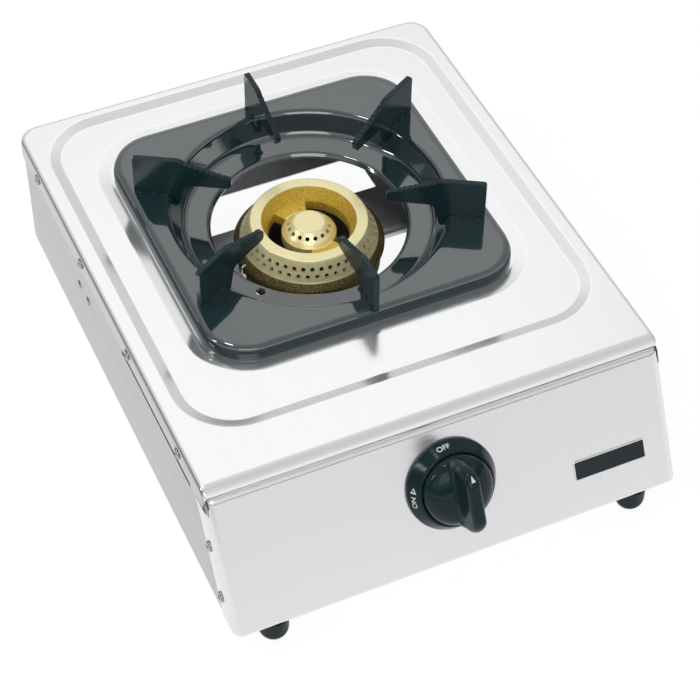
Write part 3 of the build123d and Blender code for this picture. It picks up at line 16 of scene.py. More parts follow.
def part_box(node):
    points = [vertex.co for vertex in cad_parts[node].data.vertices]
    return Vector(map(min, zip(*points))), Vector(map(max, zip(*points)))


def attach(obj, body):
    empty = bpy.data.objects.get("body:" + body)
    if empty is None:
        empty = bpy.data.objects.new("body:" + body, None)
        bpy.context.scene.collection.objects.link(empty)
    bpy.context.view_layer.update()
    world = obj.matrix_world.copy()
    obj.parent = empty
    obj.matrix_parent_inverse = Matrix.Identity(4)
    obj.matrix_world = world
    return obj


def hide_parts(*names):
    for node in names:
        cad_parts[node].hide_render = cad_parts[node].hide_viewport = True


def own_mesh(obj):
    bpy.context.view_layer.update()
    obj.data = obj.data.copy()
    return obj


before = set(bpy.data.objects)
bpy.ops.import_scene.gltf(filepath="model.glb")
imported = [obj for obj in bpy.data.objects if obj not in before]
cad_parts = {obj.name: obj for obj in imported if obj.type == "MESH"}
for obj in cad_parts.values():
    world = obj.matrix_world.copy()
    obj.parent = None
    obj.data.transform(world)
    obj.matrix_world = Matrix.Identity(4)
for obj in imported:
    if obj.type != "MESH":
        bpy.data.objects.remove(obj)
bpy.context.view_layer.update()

MM = 0.001

# %% [markdown]
# ## The places that everything hangs on
# The cover's back edge and the burner's axis are read from the frame, so the dressed pieces follow
# the solids. The front panel starts at a crease under the cover and leans back, and the knob sits
# square on it.

# %% Shared places
TOP = 98.0
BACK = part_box("top_cover")[1].y / MM
BURNER_Y = (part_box("burner_cap")[0].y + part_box("burner_cap")[1].y) / 2 / MM
SIDE = 140.0
LEAN = math.atan2(40.6, 79.0)
CREASE = Vector((0, BACK - 317, TOP - 3))
DOWN = Vector((0, -math.sin(LEAN), -math.cos(LEAN)))
OUT = Vector((0, -math.cos(LEAN), math.sin(LEAN)))
KNOB = CREASE + DOWN * 39.5
PLATE = CREASE + DOWN * 59.3


def polar(radius, angle):
    """X and Y at a radius and an angle."""
    return radius * math.cos(angle), radius * math.sin(angle)


def turns(steps):
    """Even steps of a full turn."""
    return [2 * math.pi * i / steps for i in range(steps)]


def on_panel(x, up, out, origin=KNOB):
    """A place by its distance to the right, up the panel and out of it."""
    return Vector((x, 0, 0)) + origin - DOWN * up + OUT * out


def at_burner(radius, angle, height):
    """A place round the burner's axis, by its height over the cover's border."""
    x, y = polar(radius, angle)
    return Vector((x, BURNER_Y + y, TOP + height))


print("back edge", round(BACK, 2), "burner axis", round(BURNER_Y, 2), "knob", [round(v, 1) for v in KNOB])

# %% [markdown]
# ## Meshes from rings
# Pressed and turned pieces are rings laid one inside the next: a tray is a square ring that
# becomes a circle, a cap is a circle that changes its radius. Faces join each ring to the next.
# Large flat areas keep their plain shading because each bend starts and ends in a ring of its own.

# %% Mesh helpers
def link_object(name, data):
    """Puts a mesh, a lamp or a camera into the scene."""
    obj = bpy.data.objects.new(name, data)
    bpy.context.scene.collection.objects.link(obj)
    return obj


def add_object(name, points, faces):
    """A mesh object from points in millimetres."""
    mesh = bpy.data.meshes.new(name)
    mesh.from_pydata([tuple(Vector(p) * MM) for p in points], [], faces)
    mesh.validate()
    return link_object(name, mesh)


def ring_faces(ring_count, size, closed=False, first=0):
    """Quads between rings of equal size. Closed joins the last ring to the first."""
    faces = []
    for ring in range(ring_count if closed else ring_count - 1):
        a = first + ring * size
        b = first + ((ring + 1) % ring_count) * size
        for i in range(size):
            j = (i + 1) % size
            faces.append((a + i, a + j, b + j, b + i))
    return faces


def solid_faces(ring_count, size, first=0):
    """Quads between rings, and a face over each end."""
    last = first + (ring_count - 1) * size
    ends = [tuple(first + i for i in reversed(range(size))), tuple(last + i for i in range(size))]
    return ring_faces(ring_count, size, first=first) + ends


def tidy_mesh(obj, sharp=35, outward=True):
    """Merges doubles, turns the faces outward and shades smooth up to an angle."""
    bm = bmesh.new()
    bm.from_mesh(obj.data)
    bmesh.ops.remove_doubles(bm, verts=bm.verts, dist=1e-6)
    bmesh.ops.dissolve_degenerate(bm, dist=1e-7, edges=bm.edges)
    if outward:
        bmesh.ops.recalc_face_normals(bm, faces=bm.faces)
    bm.to_mesh(obj.data)
    bm.free()
    for polygon in obj.data.polygons:
        polygon.use_smooth = True
    obj.data.set_sharp_from_angle(angle=math.radians(sharp))
    return obj


def bake(obj):
    """Turns an object with modifiers into a plain mesh."""
    depsgraph = bpy.context.evaluated_depsgraph_get()
    mesh = bpy.data.meshes.new_from_object(obj.evaluated_get(depsgraph))
    obj.modifiers.clear()
    old = obj.data
    obj.data = mesh
    mesh.name = obj.name
    bpy.data.meshes.remove(old)
    return obj


def finish_piece(obj, material, body, nodes=(), sharp=35, outward=True):
    """Shades a piece, gives it its finish and sets it on its body in place of its solids."""
    tidy_mesh(obj, sharp, outward)
    modifier = obj.modifiers.new("weighted normals", "WEIGHTED_NORMAL")
    modifier.keep_sharp = True
    bake(obj)
    obj.data.materials.clear()
    obj.data.materials.append(material)
    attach(obj, body)
    if nodes:
        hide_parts(*nodes)
    print(obj.name, "faces:", len(obj.data.polygons), "size mm:", [round(d / MM, 1) for d in obj.dimensions])
    return obj

# %% [markdown]
# ## Shared effects for the finishes
# Real sheet, enamel and castings are never one even value. Three small shader groups bring that
# in: a fine grain, long streaks as left by rolling, and speckles. Each takes the object's own
# coordinates, so the pattern stays on the piece when it moves.

# %% Node helpers
def add_node(tree, kind, inputs=None, **settings):
    """A node with its settings. inputs gives its sockets a value, or the output that feeds them."""
    node = tree.nodes.new(kind)
    for label, value in settings.items():
        setattr(node, label, value)
    for socket, value in (inputs or {}).items():
        if isinstance(value, bpy.types.NodeSocket):
            tree.links.new(value, node.inputs[socket])
        else:
            node.inputs[socket].default_value = value
    return node


def calc(tree, operation, *values, clamp=False):
    """The result of a Math node on numbers or outputs."""
    inputs = dict(enumerate(values))
    return add_node(tree, "ShaderNodeMath", inputs, operation=operation, use_clamp=clamp).outputs[0]


def new_group(kind, name, inputs, outputs):
    """An empty node group with named sockets, and the two rows of sockets inside it."""
    tree = bpy.data.node_groups.new(name, kind)
    for in_out, sockets in (("INPUT", inputs), ("OUTPUT", outputs)):
        for label, socket_type in sockets.items():
            tree.interface.new_socket(label, in_out=in_out, socket_type="NodeSocket" + socket_type)
    return tree, tree.nodes.new("NodeGroupInput").outputs, tree.nodes.new("NodeGroupOutput").inputs

# %% Shader groups
def noise_group(name, inputs, make_noise):
    """Noise mapped to the span from Low to High for roughness, and as it is for bump."""
    inputs = {"Vector": "Vector", **inputs, "Low": "Float", "High": "Float"}
    tree, source, sink = new_group("ShaderNodeTree", name, inputs, {"Value": "Float", "Noise": "Float"})
    noise = make_noise(tree, source).outputs["Fac"]
    span = add_node(tree, "ShaderNodeMapRange", {
        "Value": noise, "From Min": 0.3, "From Max": 0.7, "To Min": source["Low"], "To Max": source["High"],
    })
    tree.links.new(span.outputs[0], sink["Value"])
    tree.links.new(noise, sink["Noise"])
    return tree


def grain_noise(tree, source):
    """An even grain."""
    inputs = {label: source[label] for label in ("Vector", "Scale", "Detail")}
    return add_node(tree, "ShaderNodeTexNoise", inputs)


def streak_noise(tree, source):
    """Long thin streaks along one direction."""
    inputs = {0: source["Vector"], 1: source["Stretch"]}
    stretched = add_node(tree, "ShaderNodeVectorMath", inputs, operation="MULTIPLY").outputs[0]
    return add_node(tree, "ShaderNodeTexNoise", {"Vector": stretched, "Scale": 1.0, "Detail": 4.0})


def speckle_group():
    """Small spots of uneven size: 1 on a spot and 0 between."""
    inputs = {"Vector": "Vector", "Scale": "Float", "Spots": "Float"}
    tree, source, sink = new_group("ShaderNodeTree", "speckles", inputs, {"Mask": "Float"})
    noise = add_node(tree, "ShaderNodeTexNoise", {
        "Vector": source["Vector"], "Scale": source["Scale"], "Detail": 2.0, "Roughness": 0.7,
    })
    low = calc(tree, "SUBTRACT", 0.72, calc(tree, "MULTIPLY", source["Spots"], 0.3))
    above = calc(tree, "SUBTRACT", noise.outputs["Fac"], low)
    tree.links.new(calc(tree, "MULTIPLY", above, 14.0, clamp=True), sink["Mask"])
    return tree


GRAIN = noise_group("fine grain", {"Scale": "Float", "Detail": "Float"}, grain_noise)
STREAKS = noise_group("rolled streaks", {"Stretch": "Vector"}, streak_noise)
SPECKLES = speckle_group()
print("shader groups:", GRAIN.name, STREAKS.name, SPECKLES.name)

# %% Material helpers
class Finish:
    """A material with a Principled shader, and the object's coordinates at hand."""

    def __init__(self, name, color, metallic=0.0, **sockets):
        self.material = bpy.data.materials.new(name)
        self.material.use_nodes = True
        self.material.diffuse_color = (*color, 1)
        self.tree = self.material.node_tree
        self.shader = self.tree.nodes["Principled BSDF"]
        self.shader.inputs["Base Color"].default_value = (*color, 1)
        self.shader.inputs["Metallic"].default_value = metallic
        for label, value in sockets.items():
            self.shader.inputs[label.replace("_", " ")].default_value = value
        self.place = add_node(self.tree, "ShaderNodeTexCoord").outputs["Object"]

    def group(self, tree, **values):
        """A shared group on the object's coordinates."""
        return add_node(self.tree, "ShaderNodeGroup", {"Vector": self.place, **values}, node_tree=tree).outputs

    def link(self, output, label):
        """Feeds one of the shader's inputs."""
        self.tree.links.new(output, self.shader.inputs[label])

    def bump(self, *layers):
        """Bump from layers of (height, depth in millimetres)."""
        normal = {}
        for height, depth in layers:
            inputs = {"Strength": 1.0, "Distance": depth * MM, "Height": height, **normal}
            normal = {"Normal": add_node(self.tree, "ShaderNodeBump", inputs).outputs[0]}
        self.link(normal["Normal"], "Normal")

    def grain(self, depth, **values):
        """Grain in the roughness, and the same grain as bump."""
        grain = self.group(GRAIN, **values)
        self.link(grain["Value"], "Roughness")
        self.bump((grain["Noise"], depth))

    def mix(self, factor, low, high):
        """A colour between two, by a mask. Each is a colour or an output."""
        low, high = (c if isinstance(c, bpy.types.NodeSocket) else (*c, 1) for c in (low, high))
        return add_node(self.tree, "ShaderNodeMix", {0: factor, 6: low, 7: high}, data_type="RGBA").outputs[2]

    def product(self, *values):
        """Masks or numbers multiplied."""
        return calc(self.tree, "MULTIPLY", *values)

    def other(self, mask):
        """1 where a mask is 0."""
        return calc(self.tree, "SUBTRACT", 1.0, mask)

    def step(self, value, low, high):
        """0 below low and 1 above high, which are in millimetres."""
        inputs = {"Value": value, "From Min": low * MM, "From Max": high * MM}
        return add_node(self.tree, "ShaderNodeMapRange", inputs, interpolation_type="SMOOTHSTEP").outputs[0]

    def parts(self):
        """X, Y and Z of the object's coordinates."""
        return add_node(self.tree, "ShaderNodeSeparateXYZ", {0: self.place}).outputs

    def axis_distance(self):
        """Distance from the burner's axis."""
        x, y, _ = self.parts()
        y = calc(self.tree, "SUBTRACT", y, BURNER_Y * MM)
        return calc(self.tree, "SQRT", calc(self.tree, "ADD", self.product(x, x), self.product(y, y)))

# %% [markdown]
# ## Bright stainless sheet
# The casing is bright rolled stainless. Its look comes nearly all from what it mirrors, so the
# finish needs a metallic shader, a low roughness that varies in long faint streaks, and a very
# slight waviness, because thin sheet is never quite flat. All of it is one steel, but the cover's
# near-white colour is painted light, and the greyer colours of the sides, the front and the folded
# hems are painted shade.

# %% Stainless and plated sheet
def sheet_finish(name, color, low, high, stretch, wave, metallic=1.0, hem_shade_color=None):
    """Rolled metal sheet with faint streaks. The folded hems can get a darker colour of their own, which is
    painted shade.
    """
    finish = Finish(name, color, metallic=metallic)
    streaks = finish.group(STREAKS, Stretch=stretch, Low=low, High=high)
    clouds = finish.group(GRAIN, Scale=9.0, Detail=1.0, Low=0.97, High=1.03)
    finish.link(finish.product(streaks["Value"], clouds["Value"]), "Roughness")
    waves = finish.group(GRAIN, Scale=14.0, Detail=0.5, Low=0.0, High=1.0)
    finish.bump((streaks["Noise"], 0.002), (waves["Noise"], wave))
    # The folded hems get a darker colour here: painted shade.
    if hem_shade_color:
        x, y, _ = finish.parts()
        sides = finish.step(calc(finish.tree, "ABSOLUTE", x), SIDE - 1.6, SIDE - 0.3)
        rear = finish.step(y, BACK - 1.6, BACK - 0.3)
        hems = calc(finish.tree, "MAXIMUM", sides, rear)
        finish.link(finish.mix(hems, color, hem_shade_color), "Base Color")
    return finish.material


def plated_steel():
    """Screws and rivets: bright plating with fine grain."""
    finish = Finish("plated steel", (0.40, 0.40, 0.41), metallic=1.0)
    finish.grain(0.01, Scale=900.0, Detail=3.0, Low=0.14, High=0.24)
    return finish.material


# The cover's near white is painted light. The greyer side and front colours are painted shade on the same
# steel.
COVER_LIT_WHITE, SIDE_SHADE_GREY, FRONT_SHADE_GREY = (0.97, 0.97, 0.98), (0.43, 0.43, 0.425), (0.82, 0.82, 0.835)
ALONG_X, ALONG_Y, ALONG_COVER = (5.0, 500.0, 500.0), (500.0, 5.0, 500.0), (700.0, 9.0, 700.0)
STAINLESS = sheet_finish("bright stainless", COVER_LIT_WHITE, 0.15, 0.19, ALONG_COVER, 0.05, 0.88, SIDE_SHADE_GREY)
STAINLESS_SIDE_SHADED = sheet_finish("stainless with painted side shade", SIDE_SHADE_GREY, 0.24, 0.30, ALONG_Y, 0.05, 0.9)
STAINLESS_FRONT_SHADED = sheet_finish("stainless with painted front shade", FRONT_SHADE_GREY, 0.22, 0.27, ALONG_X, 0.05, 0.85)
ZINC = sheet_finish("zinc plated sheet", (0.62, 0.63, 0.64), 0.34, 0.46, (300.0, 40.0, 300.0), 0.03)
PLATED = plated_steel()
print("sheet finishes made")

# %% [markdown]
# ## Black enamel
# Vitreous enamel is glass on steel: nearly black with a cold green tint, glossy, with a faint
# orange-peel wave that breaks up the edges of every reflection. A strong coat over a dark base
# gives the tray its depth. The tray's skirt and the arms stay darker, so they have no coat.

# %% Enamel
def enamel_finish(name, low, high, coat, ior):
    """Glossy enamel. Its coat is left out on the tray's skirt."""
    finish = Finish(name, (0.010, 0.020, 0.022), IOR=ior, Coat_Weight=coat, Coat_Roughness=0.04, Coat_IOR=2.0)
    peel = finish.group(GRAIN, Scale=110.0, Detail=1.0, Low=low, High=high)
    clouds = finish.group(GRAIN, Scale=30.0, Detail=2.0, Low=0.0, High=1.0)
    tint = finish.mix(clouds["Value"], (0.009, 0.028, 0.033), (0.012, 0.034, 0.040))
    finish.link(tint, "Base Color")
    finish.link(peel["Value"], "Roughness")
    finish.bump((peel["Noise"], 0.06), (clouds["Noise"], 0.12))
    if coat:
        outside = finish.step(finish.axis_distance(), 89.6, 90.2)
        raised = finish.step(finish.parts()[2], TOP + 1.2, TOP + 3.4)
        finish.link(finish.other(finish.product(outside, finish.other(raised))), "Coat Weight")
    return finish.material


ENAMEL = enamel_finish("black enamel", 0.10, 0.16, 1.0, 1.45)
ENAMEL_ARM = enamel_finish("black enamel on the arms", 0.14, 0.22, 0.0, 1.33)
print("enamels made")

# %% [markdown]
# ## Brass and castings
# The burner cap is one brass casting, turned bright on its top and port band and left as cast
# on its skirt and inner wall. One material tells these zones apart by height and by distance
# from the burner's axis, which is what the lathe did to the real one.

# %% Brass cap
def cap_finish():
    """Bright brass, brown and rough on the cast skirt and golden on the inner wall."""
    finish = Finish("turned and cast brass", (0.75, 0.55, 0.22), metallic=0.55)
    z, radius = finish.parts()[2], finish.axis_distance()
    skirt = finish.product(
        finish.step(radius, 39.5, 40.5), finish.other(finish.step(z, TOP - 22.3, TOP - 21.3)),
    )
    between = finish.product(finish.other(finish.step(radius, 28.9, 29.4)), finish.step(radius, 17.0, 17.5))
    wall = finish.product(between, finish.other(finish.step(z, TOP - 9.6, TOP - 9.1)))
    cast = calc(finish.tree, "MAXIMUM", skirt, wall)
    fine = finish.group(GRAIN, Scale=1400.0, Detail=2.0, Low=0.0, High=1.0)
    spots = finish.group(SPECKLES, Scale=1100.0, Spots=0.75)["Mask"]
    pits = finish.group(SPECKLES, Scale=700.0, Spots=0.6)["Mask"]
    bright = finish.mix(fine["Value"], (0.96, 0.84, 0.42), (1.0, 0.95, 0.60))
    golden = finish.mix(fine["Value"], (0.50, 0.32, 0.03), (1.0, 0.74, 0.14))
    brown = finish.mix(spots, (0.075, 0.055, 0.018), (0.21, 0.15, 0.05))
    finish.link(finish.mix(skirt, finish.mix(wall, bright, golden), brown), "Base Color")
    grain = finish.group(GRAIN, Scale=500.0, Detail=3.0, Low=0.28, High=0.4)
    finish.link(calc(finish.tree, "ADD", grain["Value"], finish.product(cast, 0.14)), "Roughness")
    coarse = calc(finish.tree, "ADD", finish.product(cast, 0.8), 0.2)
    finish.bump((finish.product(pits, cast), 0.06), (finish.product(fine["Noise"], coarse), 0.05))
    return finish.material


CAP_BRASS = cap_finish()
print("cap finish made")

# %% [markdown]
# ## The other finishes
# The knob and its dial are gloss black plastic with a very fine moulded texture. The print is a
# thin white layer. The feet are black rubber, and the hidden pieces get the plain finishes that
# such pieces have.

# %% Metals, plastics, rubber and ceramic
def cloudy_finish(name, color, low, high, scale, depth, variation, detail, spread, **sockets):
    """Even grain over a colour that is a little lighter and darker in clouds."""
    finish = Finish(name, color, **sockets)
    clouds = finish.group(GRAIN, Scale=scale / spread, Detail=2.0, Low=0.0, High=1.0)
    dark = tuple(c * (1 - variation) for c in color)
    light = tuple(min(1.0, c * (1 + variation)) for c in color)
    finish.link(finish.mix(clouds["Value"], dark, light), "Base Color")
    finish.grain(depth, Scale=scale, Detail=detail, Low=low, High=high)
    return finish.material


def metal_finish(name, color, *grain, metallic=1.0, variation=0.12):
    """A cast, drawn or turned metal. grain is low and high roughness, scale, and depth of bump."""
    return cloudy_finish(name, color, *grain, variation, 3.0, 12, metallic=metallic)


def moulded_finish(name, color, *grain, variation=0.1, **sockets):
    """Moulded plastic, rubber or ceramic, by the same numbers."""
    return cloudy_finish(name, color, *grain, variation, 2.0, 20, **sockets)

# %% One finish for each material
BRASS = metal_finish("turned brass", (0.72, 0.52, 0.24), 0.24, 0.36, 500.0, 0.01)
CAST_IRON = metal_finish(
    "cast iron", (0.055, 0.048, 0.042), 0.55, 0.75, 600.0, 0.08, metallic=0.7, variation=0.3,
)
ALUMINIUM = metal_finish("die cast aluminium", (0.6, 0.6, 0.61), 0.4, 0.55, 400.0, 0.03)
TUBE = metal_finish("drawn aluminium", (0.68, 0.68, 0.69), 0.28, 0.36, 900.0, 0.005)
SPRING_STEEL = metal_finish("drawn wire", (0.5, 0.5, 0.5), 0.25, 0.35, 1200.0, 0.005)
KNOB_BLACK = moulded_finish("gloss black plastic", (0.010, 0.027, 0.031), 0.10, 0.15, 1500.0, 0.004, IOR=1.27)
DIAL_BLACK = moulded_finish("dial black plastic", (0.010, 0.026, 0.030), 0.12, 0.17, 1500.0, 0.004, IOR=1.25)
WHITE = moulded_finish("white print", (0.80, 0.80, 0.79), 0.35, 0.5, 800.0, 0.004, variation=0.04)
RUBBER = moulded_finish("foot rubber", (0.010, 0.022, 0.025), 0.4, 0.5, 900.0, 0.02, IOR=1.25)
HOUSING = moulded_finish("igniter housing", (0.72, 0.70, 0.62), 0.3, 0.4, 900.0, 0.008)
LEAD = moulded_finish("lead insulation", (0.35, 0.05, 0.03), 0.35, 0.5, 1200.0, 0.008)
CERAMIC = moulded_finish("white ceramic", (0.82, 0.81, 0.77), 0.28, 0.4, 700.0, 0.01)
PLATE_BLACK = moulded_finish("badge black", (0.012, 0.022, 0.025), 0.2, 0.26, 900.0, 0.004, IOR=1.35)
PLATE_BORDER = metal_finish("badge border", (0.78, 0.78, 0.78), 0.2, 0.3, 900.0, 0.003)
print("finishes made:", len(bpy.data.materials))

# %% [markdown]
# ## Top cover
# The cover is one pressed sheet: folded hems at the sides and back, a soft bend down at the
# front, a raised border, and a well for the tray. Rings that follow rounded rectangles give all
# of it. A second set of rings lies one sheet thickness deeper and closes the sheet.

# %% Rounded rectangles as rings
FRONT_STATIONS = [9.8, 7.8, 6.4, 5.1, 3.9, 2.8, 1.8, 0.8]
CORNER_STEPS, SIDE_STEPS = 10, 14


def rectangle_ring(half, back, front, back_radius, front_radius, drop_at):
    """
    A ring round a rectangle that is 2 half wide, by its depths from the cover's back edge.
    drop_at(depth, side) gives a point's drop. side is 1 on the sides and back, 0 at the front.
    """
    quarter = [math.radians(90 * k / CORNER_STEPS) for k in range(CORNER_STEPS + 1)]
    low, high = back + back_radius, front - front_radius
    near = high - FRONT_STATIONS[0]
    spots = [
        (half - back_radius * (1 - math.cos(a)), back + back_radius * (1 - math.sin(a)), 1.0)
        for a in reversed(quarter)
    ]
    spots += [(half, low + (near - low) * k / SIDE_STEPS, 1.0) for k in range(1, SIDE_STEPS)]
    spots += [(half, high - station, 1.0) for station in FRONT_STATIONS]
    spots += [
        (half - front_radius * (1 - math.cos(a)), front - front_radius * (1 - math.sin(a)), math.cos(a) ** 2)
        for a in quarter
    ]
    spots += [(-x, depth, side) for x, depth, side in reversed(spots)]
    return [Vector((x, BACK - depth, TOP - drop_at(depth, side))) for x, depth, side in spots]


def level_ring(half, back, front, corner, level):
    """A ring at one level."""
    return rectangle_ring(half, back, front, corner, corner, lambda depth, side: level)


print("points in a ring:", len(level_ring(SIDE, 0, 300, 10, 0)))

# %% Slope of a pressed step
def even_slope(t, ends=0.16):
    """From 0 to 1 by an even slope with a short rounding at each end."""
    t = min(1, max(0, t))
    steep = 1 / (1 - ends)
    if t < ends:
        return steep * t * t / (2 * ends)
    if t > 1 - ends:
        return 1 - steep * (1 - t) ** 2 / (2 * ends)
    return steep * (t - ends / 2)


print("drop at a quarter, half and three quarters:", [round(even_slope(k / 4), 3) for k in (1, 2, 3)])

# %% Cover mesh
COVER_FRONT, FRONT_BEND, SHEET = 318.5, 10.0, 0.8
HEM_DROP, HEM_BEND = 12.5, 2.5
# Each pressed step: half width, back, front, corner, width of its slope, level above it, depth.
COVER_STEPS = [(131, 5.9, 281.5, 38, 8.0, 0.0, 2.0), (109, 28, 246, 41, 10.0, 2.0, 1.6)]
STEP_PLACES = [-0.14, -0.02, 0.04, 0.08, 0.12, 0.17, 0.5, 0.83, 0.88, 0.92, 0.96, 1.02, 1.14]


def cover_rings(skin):
    """Rings of the cover's outer face, or of a face that lies skin deeper in the sheet."""
    bend, bend_start = FRONT_BEND - skin, COVER_FRONT - FRONT_BEND

    def front_drop(depth):
        past = min(bend, max(0.0, depth - bend_start))
        return FRONT_BEND - math.sqrt(bend**2 - past**2)

    # Each hem ring: inset, drop, and how far round the front bend it reaches, in degrees.
    hem = [(skin, 12.5, 51.7), (skin, 12.2, 50.0), (skin, 7.5, 46.0), (skin, 3.4, 41.0), (skin, 2.5, 37.0)]
    for degrees in (18, 36, 54, 72, 90):
        x, y = polar(HEM_BEND - skin, math.radians(degrees))
        hem.append((HEM_BEND - x, HEM_BEND - y, 36 - degrees * 0.36))
    hem += [(3.1, skin, 2.0), (4.4, skin, 0.0)]
    rings = []
    for inset, drop, reach in hem:

        def drop_at(depth, side, drop=drop):
            level = front_drop(depth)
            side_drop = max(level, drop + (level - skin) * (1 - drop / HEM_DROP))
            return side_drop * side + level * (1 - side)

        front = bend_start + bend * math.sin(math.radians(reach))
        rings.append(rectangle_ring(SIDE - inset, inset, front, 12 - inset * 0.6, 2.2 + inset * 0.2, drop_at))
    for half, back, front, corner, slope, top, deep in COVER_STEPS:
        for t in STEP_PLACES:
            inset = slope * t
            level = skin + top + deep * even_slope(t)
            rings.append(level_ring(half - inset, back + inset, front - inset, corner - inset, level))
    rings.append(level_ring(87, 50, 224, 24, 3.6 + skin))
    return rings


def build_cover():
    """The cover, from its outer face and the face one sheet thickness under it."""
    rings = cover_rings(0.0) + list(reversed(cover_rings(SHEET)))
    points = [p for ring in rings for p in ring]
    cover = add_object("pressed_top_cover", points, ring_faces(len(rings), len(rings[0]), closed=True))
    finish_piece(cover, STAINLESS, "casing", ["top_cover"], sharp=50)


build_cover()

# %% [markdown]
# ## Pieces that keep their solid shape
# The front panel, the pan and the hidden fittings are already the right shape in the CAD. Their
# triangles come loose, so a copy is merged and shaded smooth up to an angle, and the flat faces
# decide the shading beside their bends. The wrap also gets seam slots that show under the hems,
# and two small tabs close the corners between the hems and the panel.

# %% Copies of the CAD pieces
def copy_solid(node, name):
    """A loose copy of a CAD piece's mesh, without its stored normals."""
    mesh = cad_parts[node].data.copy()
    if mesh.has_custom_normals:
        mesh.attributes.remove(mesh.attributes["custom_normal"])
    return link_object(name, mesh)


def refine(node, name, material, body="casing"):
    """A smooth copy of a CAD piece stands in for it."""
    return finish_piece(copy_solid(node, name), material, body, [node], 32, outward=False)

# %% Wrap and corner tabs
def cut_away(obj, cutter):
    """Takes a cutter's shape out of a piece."""
    cut = obj.modifiers.new("cut", "BOOLEAN")
    cut.operation = "DIFFERENCE"
    cut.object = cutter
    bake(obj)
    bpy.data.objects.remove(cutter)


def build_wrap():
    """The wrap, with its seam slots opened to slanted edges as shears leave them."""
    wrap = tidy_mesh(copy_solid("casing_wrap", "side_and_back_wrap"), outward=False)
    section = [(139.2, 12.55), (139.2, 19.0), (137.6, 23.2), (137.6, 12.55)]
    for side in (1, -1):
        points = [(side * x, BACK - depth, TOP - drop) for depth in (185, 293) for x, drop in section]
        cut_away(wrap, tidy_mesh(add_object("slot cutter", points, solid_faces(2, len(section)))))
    finish_piece(wrap, STAINLESS_SIDE_SHADED, "casing", ["casing_wrap"], 32, outward=False)


def build_corner_tabs():
    """The panel's two tabs, which stand behind the front ends of the cover's hems."""
    outline = [(313.2, 5.6), (315.6, 5.6), (317.4, 7.4), (319.3, 11.0), (320.6, 14.6), (313.2, 14.6)]
    points, faces = [], []
    for side in (1, -1):
        faces += solid_faces(2, len(outline), first=len(points))
        points += [(side * x, BACK - depth, TOP - drop) for x in (139.1, 138.7) for depth, drop in outline]
    finish_piece(add_object("panel_corner_tabs", points, faces), STAINLESS_SIDE_SHADED, "casing")


refine("front_panel", "sloping_front_panel", STAINLESS_FRONT_SHADED)
build_wrap()
build_corner_tabs()

# %% Plain pieces
REFINED = [
    (ZINC, "zinc_sheet", {
        "bottom_pan": "floor_pan", "burner_crossbar": "burner_bar", "valve_yoke": "yoke_plate",
        "igniter_bracket": "igniter_plate", "electrode_bracket": "electrode_strip",
        "air_shutter": "shutter_sleeve",
    }),
    (CAST_IRON, "cast_iron", {"burner_base": "burner_casting"}),
    (BRASS, "brass", {"gas_jet": "jet_piece", "valve_plug": "tap_plug"}),
    (ALUMINIUM, "cast_aluminium", {"valve_body": "tap_body"}),
    (PLATED, "screw_steel", {"valve_stem": "tap_stem", "thrust_washer": "push_washer"}),
    (SPRING_STEEL, "spring_steel", {"valve_spring": "push_spring", "electrode_wire": "spark_wire"}),
    (CERAMIC, "ceramic", {"electrode_insulator": "spark_insulator"}),
    (PLATED, "screw_steel", {
        "electrode_screw": "strip_screw", "foot_screws": "foot_fixings", "burner_screws": "burner_fixings",
        "valve_screws": "yoke_fixings", "valve_mount_screws": "dial_fixings",
    }),
    (TUBE, "pipe_aluminium", {"gas_pipe": "gas_tube"}),
    (BRASS, "brass", {"pipe_nuts": "tube_nuts", "inlet_nipple": "hose_end", "inlet_lock_nut": "wall_nut"}),
    (HOUSING, "igniter_plastic", {"igniter": "igniter_case"}),
    (LEAD, "lead_rubber", {"igniter_lead": "spark_lead"}),
    (RUBBER, "foot_rubber", {
        "foot_" + corner: "rubber_foot_" + corner
        for corner in ("front_left", "front_right", "back_left", "back_right")
    }),
]
BODIES = {
    "air_shutter": "air_shutter", "valve_plug": "valve_plug", "valve_stem": "knob",
    "thrust_washer": "thrust_washer",
}
for material, slot, names in REFINED:
    for node, name in names.items():
        refine(node, name, material, BODIES.get(node, "casing"))

# %% Spring with a mesh of its own
push_spring = bpy.data.objects["push_spring"]
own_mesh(push_spring)

# %% [markdown]
# ## Drip tray
# The tray is an upturned square pan with round shoulders. In its middle a bowl slopes down to the
# burner's hole. The rings start as rounded squares and end as circles. All of them take their
# points on the same rays from the burner's axis, so that the faces run straight across.

# %% Rounded outlines
def rounded(points, radius, steps=4, closed=True):
    """Rounds the corners of an outline. radius is one number, or one for each corner."""
    count = len(points)
    result = []
    for i, corner in enumerate(points):
        size = radius[i] if isinstance(radius, list) else radius
        if size <= 0 or (not closed and i in (0, count - 1)):
            result.append(tuple(corner))
            continue
        here = Vector(corner)
        before = Vector(points[i - 1]) - here
        after = Vector(points[(i + 1) % count]) - here
        reach = min(size / math.tan(before.angle(after) / 2), before.length * 0.49, after.length * 0.49)
        start = here + before.normalized() * reach
        end = here + after.normalized() * reach
        for k in range(steps + 1):
            t = k / steps
            result.append(tuple(start * (1 - t) ** 2 + here * 2 * t * (1 - t) + end * t**2))
    return result

# %% Tray mesh
RAYS, SKIRT, SHOULDER = 240, -3.3, 5.0
TRAY_HALF, TRAY_CORNER, TRAY_TOP = 98.0, 29.0, 4.3
BOWL_SKIN = [
    (89.5, 4.3), (84.0, 4.3), (76.0, -9.5), (61.7, -10.8), (59.7, -12.8), (59.7, -14.0), (61.7, -14.0),
    (61.7, -12.0), (76.73, -10.64), (84.2, 2.25), (85.2, 3.1),
]
BOWL_ROUNDS = [0, 4.5, 6.0, 3.0, 0.6, 0.5, 0.4, 0.6, 6.4, 1.0, 0]


def square_radius(angle, half, corner):
    """Distance to a rounded square along a ray."""
    c, s = abs(math.cos(angle)), abs(math.sin(angle))
    flat = half - corner
    if s * half <= flat * c:
        return half / c
    if c * half <= flat * s:
        return half / s
    along = flat * (c + s)
    return along + math.sqrt(max(0.0, along**2 - (2 * flat**2 - corner**2)))


